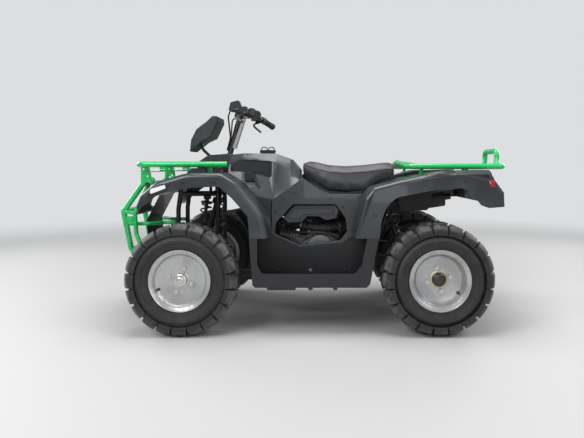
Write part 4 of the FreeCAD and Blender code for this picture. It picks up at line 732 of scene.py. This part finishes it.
# Inner sheets of the bodywork, black plastic screwed on from within: a shelf from each side panel's
# upper edge in to the seat, the upright between deck and rear fender, and a closing plate behind the
# gap of front fender and tank cover.
SHEET = 0.0025
sheets = bmesh.new()
for hand in (-1, 1):
    shelf = bmesh.new()
    lines = []
    for row in ([(-0.060, 0.2430, 0.7160), (-0.048, 0.2430, 0.7235), (0.045, 0.2430, 0.6655),
                 (0.095, 0.2430, 0.6435), (0.250, 0.2430, 0.6435), (0.264, 0.2645, 0.6435),
                 (0.299, 0.2645, 0.6370)],
                [(-0.060, 0.1600, 0.7260), (-0.048, 0.1650, 0.7265), (0.045, 0.1800, 0.6725),
                 (0.095, 0.1900, 0.6480), (0.250, 0.1950, 0.6460), (0.264, 0.1955, 0.6460),
                 (0.299, 0.1955, 0.6370)],
                [(-0.060, 0.0600, 0.7310), (-0.048, 0.0700, 0.7270), (0.045, 0.1200, 0.6680),
                 (0.095, 0.1340, 0.6380), (0.250, 0.1435, 0.6380), (0.264, 0.1440, 0.6380),
                 (0.299, 0.1440, 0.6350)]):
        points = [shelf.verts.new((x, hand * y, z)) for x, y, z in row]
        lines.append([shelf.edges.new(pair) for pair in zip(points, points[1:])])
    for first, second in zip(lines, lines[1:]):
        bmesh.ops.bridge_loops(shelf, edges=first + second)
    bmesh.ops.recalc_face_normals(shelf, faces=shelf.faces)
    bmesh.ops.solidify(shelf, geom=shelf.faces[:], thickness=SHEET)
    set_down(sheets, shelf)
    set_plate(sheets, [(0.262, 0.6400), (0.262, 0.6500), (0.270, 0.6600), (0.280, 0.6730), (0.290, 0.6820),
                       (0.300, 0.6880), (0.420, 0.7203), (0.500, 0.7384), (0.600, 0.7605), (0.700, 0.7653),
                       (0.836, 0.7675), (0.836, 0.7600), (0.800, 0.7575), (0.700, 0.7487), (0.600, 0.7400),
                       (0.500, 0.7233), (0.420, 0.7095), (0.300, 0.6380)], hand * 0.2618, hand * SHEET)
    set_plate(sheets, [(-0.350, 0.650), (-0.2055, 0.622), (-0.2035, 0.455), (-0.283, 0.455), (-0.300, 0.540),
                       (-0.332, 0.600)], hand * 0.2400, hand * SHEET)
piece_from("inner_sheets", sheets, coarse_black, body_of("inner_guards"))

# Air box: black plastic, blow-moulded with five stiffening ribs, bolted to the frame behind the faceted
# cover that shows in the side panel's window.
air_box = bmesh.new()
for size, x, ease, segments in [((0.316, 0.086, 0.060), -0.007, 0.012, 4)] + [
        ((0.006, 0.088, 0.0625), -0.120 + 0.056 * k, 0.002, 1) for k in range(5)]:
    block = bmesh.new()
    bmesh.ops.create_cube(block, size=1.0)
    bmesh.ops.scale(block, vec=size, verts=block.verts)
    bmesh.ops.bevel(block, geom=block.edges[:], offset=ease, segments=segments, profile=0.5, affect="EDGES",
                    material=-1)
    set_down(air_box, block, Matrix.Translation((x, -0.0745, 0.5525)))
piece_from("air_box", air_box, coarse_black, body_of("airbox_cover"))

# Fender tabs: two raised moulded tabs on each front fender, beside the rack, that carry its edge. They
# are one piece with the fender.
tabs = bmesh.new()
for hand in (-1, 1):
    for outline in ([(-0.618, 0.7535), (-0.596, 0.7790), (-0.530, 0.7810), (-0.524, 0.7545)],
                    [(-0.492, 0.7550), (-0.486, 0.7815), (-0.444, 0.7830), (-0.436, 0.7545)]):
        set_plate(tabs, outline, hand * 0.300, hand * 0.012, 0.0030, 3)
piece_from("fender_tabs", tabs, satin_body, body_of("front_fender_left"))

# Screws: black button heads on a washer hold the fenders, side panels and footwells. The middle one of
# each footwell is bare zinc.
PANEL_Y = 0.245
BUTTON = [(0, 0.0046), (0.0022, 0.0046), (0.0026, 0.0038), (0.0044, 0.0040), (0.0058, 0.0028),
          (0.0064, 0.0012), (0.0092, 0.0012), (0.0092, -0.0004), (0, -0.0004)]
heads, bare_heads = bmesh.new(), bmesh.new()
for hand in (-1, 1):
    for shell, y, places in (
            (heads, FENDER_Y, ((-0.594, 0.716), (-0.446, 0.716), (0.300, 0.560), (0.724, 0.720))),
            (heads, PANEL_Y, ((-0.088, 0.655), (0.094, 0.624), (0.158, 0.583), (-0.186, 0.560))),
            (heads, PANEL_Y + 0.0002, ((-0.170, 0.262), (0.170, 0.262))),
            (bare_heads, PANEL_Y + 0.0002, ((-0.005, 0.262),)),
            (heads, 0.312, ((-0.466, 0.7690),))):
        for x, z in places:
            turned(shell, BUTTON, facing((x, hand * y, z), (0, hand, 0)), 20)
piece_from("body_screws", heads, black_cap, body_of("front_fender_left"))
piece_from("footwell_screws", bare_heads, cast_alloy, body_of("front_fender_left"))

# Steering: column and handlebar of steel tube, powder-coated black and clamped together. The guard
# behind the column is painted silver.
COLUMN_FOOT_X, COLUMN_FOOT_Z, RAKE = -0.611, 0.272, math.radians(15)
column_skin = smooth_copy("steering_column", black_coat)
smooth_copy("handlebar", black_coat)
column_skin.data.materials.append(silver_paint.material)
for face in column_skin.data.polygons:
    behind = face.center.x - COLUMN_FOOT_X - (face.center.z - COLUMN_FOOT_Z) * math.tan(RAKE)
    if behind > 0.0165 and 0.86 < face.center.z < 1.05:
        face.material_index = 1

# Grips: soft black rubber sleeves pushed over the bar's ends, each with 22 thin ribs between two
# collars. The hoses and cables that come down the front of the column have the same dull skin.
soft_rubber = Finish("grip_rubber", (0.016, 0.016, 0.017), 0.66)
soft_rubber.bump(soft_rubber.noise(500, 3), 0.0004, 0.4)
smooth_copy("grips", soft_rubber, 0.001)
smooth_copy("control_hoses", soft_rubber)
ribs = bmesh.new()
for hand in (-1, 1):
    inner_end = Vector((-0.30005, hand * 0.262, 1.062))
    along_bar = Vector((0.042, hand * 0.130, -0.026)).normalized()
    for shift, rib_r, foot, crest in [(0.020 + 0.0052 * k, 0.0178, 0.0016, 0.0012) for k in range(22)] + [
            (0.0115, 0.0205, 0.0024, 0.0016), (0.1375, 0.0200, 0.0024, 0.0016)]:
        turned(ribs, [(0.0150, -foot), (rib_r, -crest), (rib_r, crest), (0.0150, foot)],
               facing(inner_end + along_bar * shift, along_bar), 28)
piece_from("grip_ribs", ribs, soft_rubber, body_of("grips"))

# Tail lamps: lenses of red plastic, two in the deck's rear face and one on each rear fender's side,
# where it sits in a black surround.
red_lens = Finish("red_lens", (0.36, 0.010, 0.012), 0.12, coat=0.8)
red_lens.bump(red_lens.noise(260, 1), 0.0003, 0.3)
smooth_copy("tail_lamps", red_lens, 0.001)
LENS_CORNERS = ((-0.022, 0.017), (0, 0.021), (0.018, -0.005), (0.014, -0.019), (-0.014, -0.017))
side_lenses, surrounds = bmesh.new(), bmesh.new()
for hand in (-1, 1):
    for shell, share, proud in ((side_lenses, 0.80, 0.0030), (surrounds, 1.0, 0.0016)):
        outline = [(0.848 + x * share, 0.707 + z * share) for x, z in LENS_CORNERS]
        set_plate(shell, outline, hand * (FENDER_Y - 0.0002), hand * proud, proud * 0.35)
piece_from("side_lenses", side_lenses, red_lens, body_of("rear_fender_left"))
piece_from("side_lens_surrounds", surrounds, black_cap, body_of("rear_fender_left"))

# Front lamps: white plastic strips on the front fenders, and the headlamp's clear lens, fluted upright
# on its inner face, held in the pod.
white_lens = Finish("white_lens", (0.80, 0.81, 0.82), 0.16, coat=0.6)
smooth_copy("marker_lamps", white_lens, 0.001)
clear_lens = Finish("headlamp_lens", roughness=0.08, coat=0.9)
flutes = clear_lens.node("TexWave", {"wave_type": "BANDS", "bands_direction": "Y"}, 1,
                         Vector=clear_lens.place, Scale=42.0)
clear_lens.tint(flutes, (0.30, 0.32, 0.34), (0.66, 0.68, 0.70))
clear_lens.bump(flutes, 0.0012, 0.5)
smooth_copy("headlamp_lens", clear_lens, 0.0012)

# Saddle: black-grey vinyl stretched over foam and stapled under a moulded pan. The cover starts a little
# smaller than the solid, and cloth blows it up over the foam.
COVER_GAP = 0.007          # how far the cover starts inside the solid, and how far it may move
COVER_FRAMES = 20
saddle_vinyl = Finish("saddle_vinyl")
leather = saddle_vinyl.node("TexVoronoi", {"feature": "F1"}, Vector=saddle_vinyl.place, Scale=520.0)
crease = saddle_vinyl.noise(13, 5, 0.6)
# Both tones are the vinyl's own black-grey painted a little lighter and bluer, as a painted sheen.
saddle_vinyl.tint(crease, (0.034, 0.037, 0.042), (0.056, 0.060, 0.067))
saddle_vinyl.feed("Roughness", crease * 0.16 + leather * 0.10 + 0.32)
saddle_vinyl.bump(leather, 0.0004, 0.35)
saddle = bpy.data.objects.new("saddle", frame["nodes"]["seat"].data.copy())
scene.collection.objects.link(saddle)
shell = bmesh.new()
shell.from_mesh(saddle.data)
bmesh.ops.remove_doubles(shell, verts=shell.verts, dist=SAME_CORNER)
low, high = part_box("seat")
middle = (Vector(low) + Vector(high)) / 2
for vert in shell.verts:
    for axis in range(3):
        half = (high[axis] - low[axis]) / 2
        vert.co[axis] = middle[axis] + (vert.co[axis] - middle[axis]) * (half - COVER_GAP) / half
shell.to_mesh(saddle.data)
shell.free()
saddle.data.materials.clear()
saddle.data.materials.append(saddle_vinyl.material)


def settle(piece):
    """Puts the modified mesh in place of the piece's own and drops its modifiers."""
    made = drawn(piece)
    piece.modifiers.clear()
    piece.data = made


remesh = saddle.modifiers.new("even_mesh", "REMESH")
remesh.mode = "VOXEL"
remesh.voxel_size = 0.006
settle(saddle)
rest = [vert.co.copy() for vert in saddle.data.vertices]
cover = saddle.modifiers.new("cover", "CLOTH").settings
cover.use_pressure = True
cover.uniform_pressure_force = 4
cover.effector_weights.gravity = 0
cover.tension_stiffness = cover.compression_stiffness = 25
for number in range(1, COVER_FRAMES + 1):
    scene.frame_set(number)
settle(saddle)
scene.frame_set(1)
for vert, start in zip(saddle.data.vertices, rest):
    step = vert.co - start
    if step.length > COVER_GAP:
        vert.co = start + step * (COVER_GAP / step.length)
    for axis in range(3):
        vert.co[axis] = min(max(vert.co[axis], low[axis]), high[axis])
ease = saddle.modifiers.new("ease", "SMOOTH")
ease.factor = 0.5
ease.iterations = 22
finer = saddle.modifiers.new("finer", "SUBSURF")
finer.levels = finer.render_levels = 1
settle(saddle)
saddle.data.shade_smooth()
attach(saddle, body_of("seat"))
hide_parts("seat")

# Seat pan: the black moulded base, latched to the frame. Its edge shows as a dark line under the
# cushion all the way round.
pan = bmesh.new()
loops = []
edge_points = [(-0.054, 0.056, 0.742), (0.016, 0.108, 0.700), (0.085, 0.133, 0.655), (0.180, 0.144, 0.648),
               (0.290, 0.144, 0.662), (0.380, 0.138, 0.714), (0.440, 0.130, 0.728)]
for lift in (0.004, -0.018):
    ring = [pan.verts.new((x, -y, z + lift)) for x, y, z in edge_points]
    ring += [pan.verts.new((x, y, z + lift)) for x, y, z in reversed(edge_points)]
    loops += [pan.edges.new(pair) for pair in zip(ring, ring[1:] + ring[:1])]
bmesh.ops.bridge_loops(pan, edges=loops)
bmesh.ops.recalc_face_normals(pan, faces=pan.faces)
bmesh.ops.solidify(pan, geom=pan.faces[:], thickness=0.003)
piece_from("seat_pan", pan, coarse_black, body_of("seat"))

# Piping: a thin dull red vinyl cord, sewn into the seam round the seat's upper edge. It lies on the
# cover as the cloth left it.
seam_red = Finish("seam_red_vinyl", roughness=0.45)
seam_red.tint(seam_red.noise(60), (0.060, 0.012, 0.015), (0.14, 0.018, 0.022))
upper_edge = [(-0.050, 0.030, 0.806), (-0.040, 0.066, 0.803), (0.016, 0.116, 0.783), (0.085, 0.143, 0.766),
              (0.180, 0.153, 0.760), (0.290, 0.153, 0.766), (0.380, 0.148, 0.778), (0.432, 0.138, 0.783),
              (0.440, 0.110, 0.786)]
round_it = [Vector((x, -y, z)) for x, y, z in upper_edge] + [Vector(point) for point in reversed(upper_edge)]
spots = []
for here, there in zip(round_it, round_it[1:] + round_it[:1]):
    for k in range(6):
        found, spot, normal, index = saddle.closest_point_on_mesh(here.lerp(there, k / 6))
        spots.append(spot + normal * 0.0006)
curve = bpy.data.curves.new("seat_piping", "CURVE")
curve.dimensions = "3D"
curve.bevel_depth = 0.0024
curve.bevel_resolution = 3
strand = curve.splines.new("NURBS")
strand.points.add(len(spots) - 1)
for entry, spot in zip(strand.points, spots):
    entry.co = (*spot, 1)
strand.use_cyclic_u = True
strand.order_u = 4
strand.resolution_u = 3
holder = bpy.data.objects.new("seat_piping", curve)
scene.collection.objects.link(holder)
piping = bpy.data.objects.new("seat_piping", drawn(holder))
bpy.data.objects.remove(holder)
scene.collection.objects.link(piping)
piping.data.materials.clear()
piping.data.materials.append(seam_red.material)
piping.data.shade_smooth()
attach(piping, body_of("seat"))

# Floor: one pale sheet under the wheels, no part of the machine. Far out it takes the backdrop's tone,
# so that no horizon shows.
floor_sheet = bmesh.new()
bmesh.ops.create_grid(floor_sheet, x_segments=1, y_segments=1, size=40)
floor = bpy.data.objects.new("floor", bpy.data.meshes.new("floor"))
floor_sheet.to_mesh(floor.data)
floor_sheet.free()
scene.collection.objects.link(floor)
pale_floor = Finish("pale_floor", (0.50, 0.50, 0.495), 0.6)
distance = pale_floor.node("VectorMath", {"operation": "LENGTH"}, 1, n0=pale_floor.place)
far_and_seen = pale_floor.ramp(distance, 1.6, 6.5) * pale_floor.node("LightPath")
even = pale_floor.node("Emission", Color=PALE, Strength=1.0)
whole = pale_floor.node("MixShader", n0=far_and_seen, n1=Wire(pale_floor.skin.outputs["BSDF"]), n2=even)
pale_floor.material.node_tree.links.new(whole.socket, pale_floor.nodes["Material Output"].inputs["Surface"])
floor.data.materials.append(pale_floor.material)
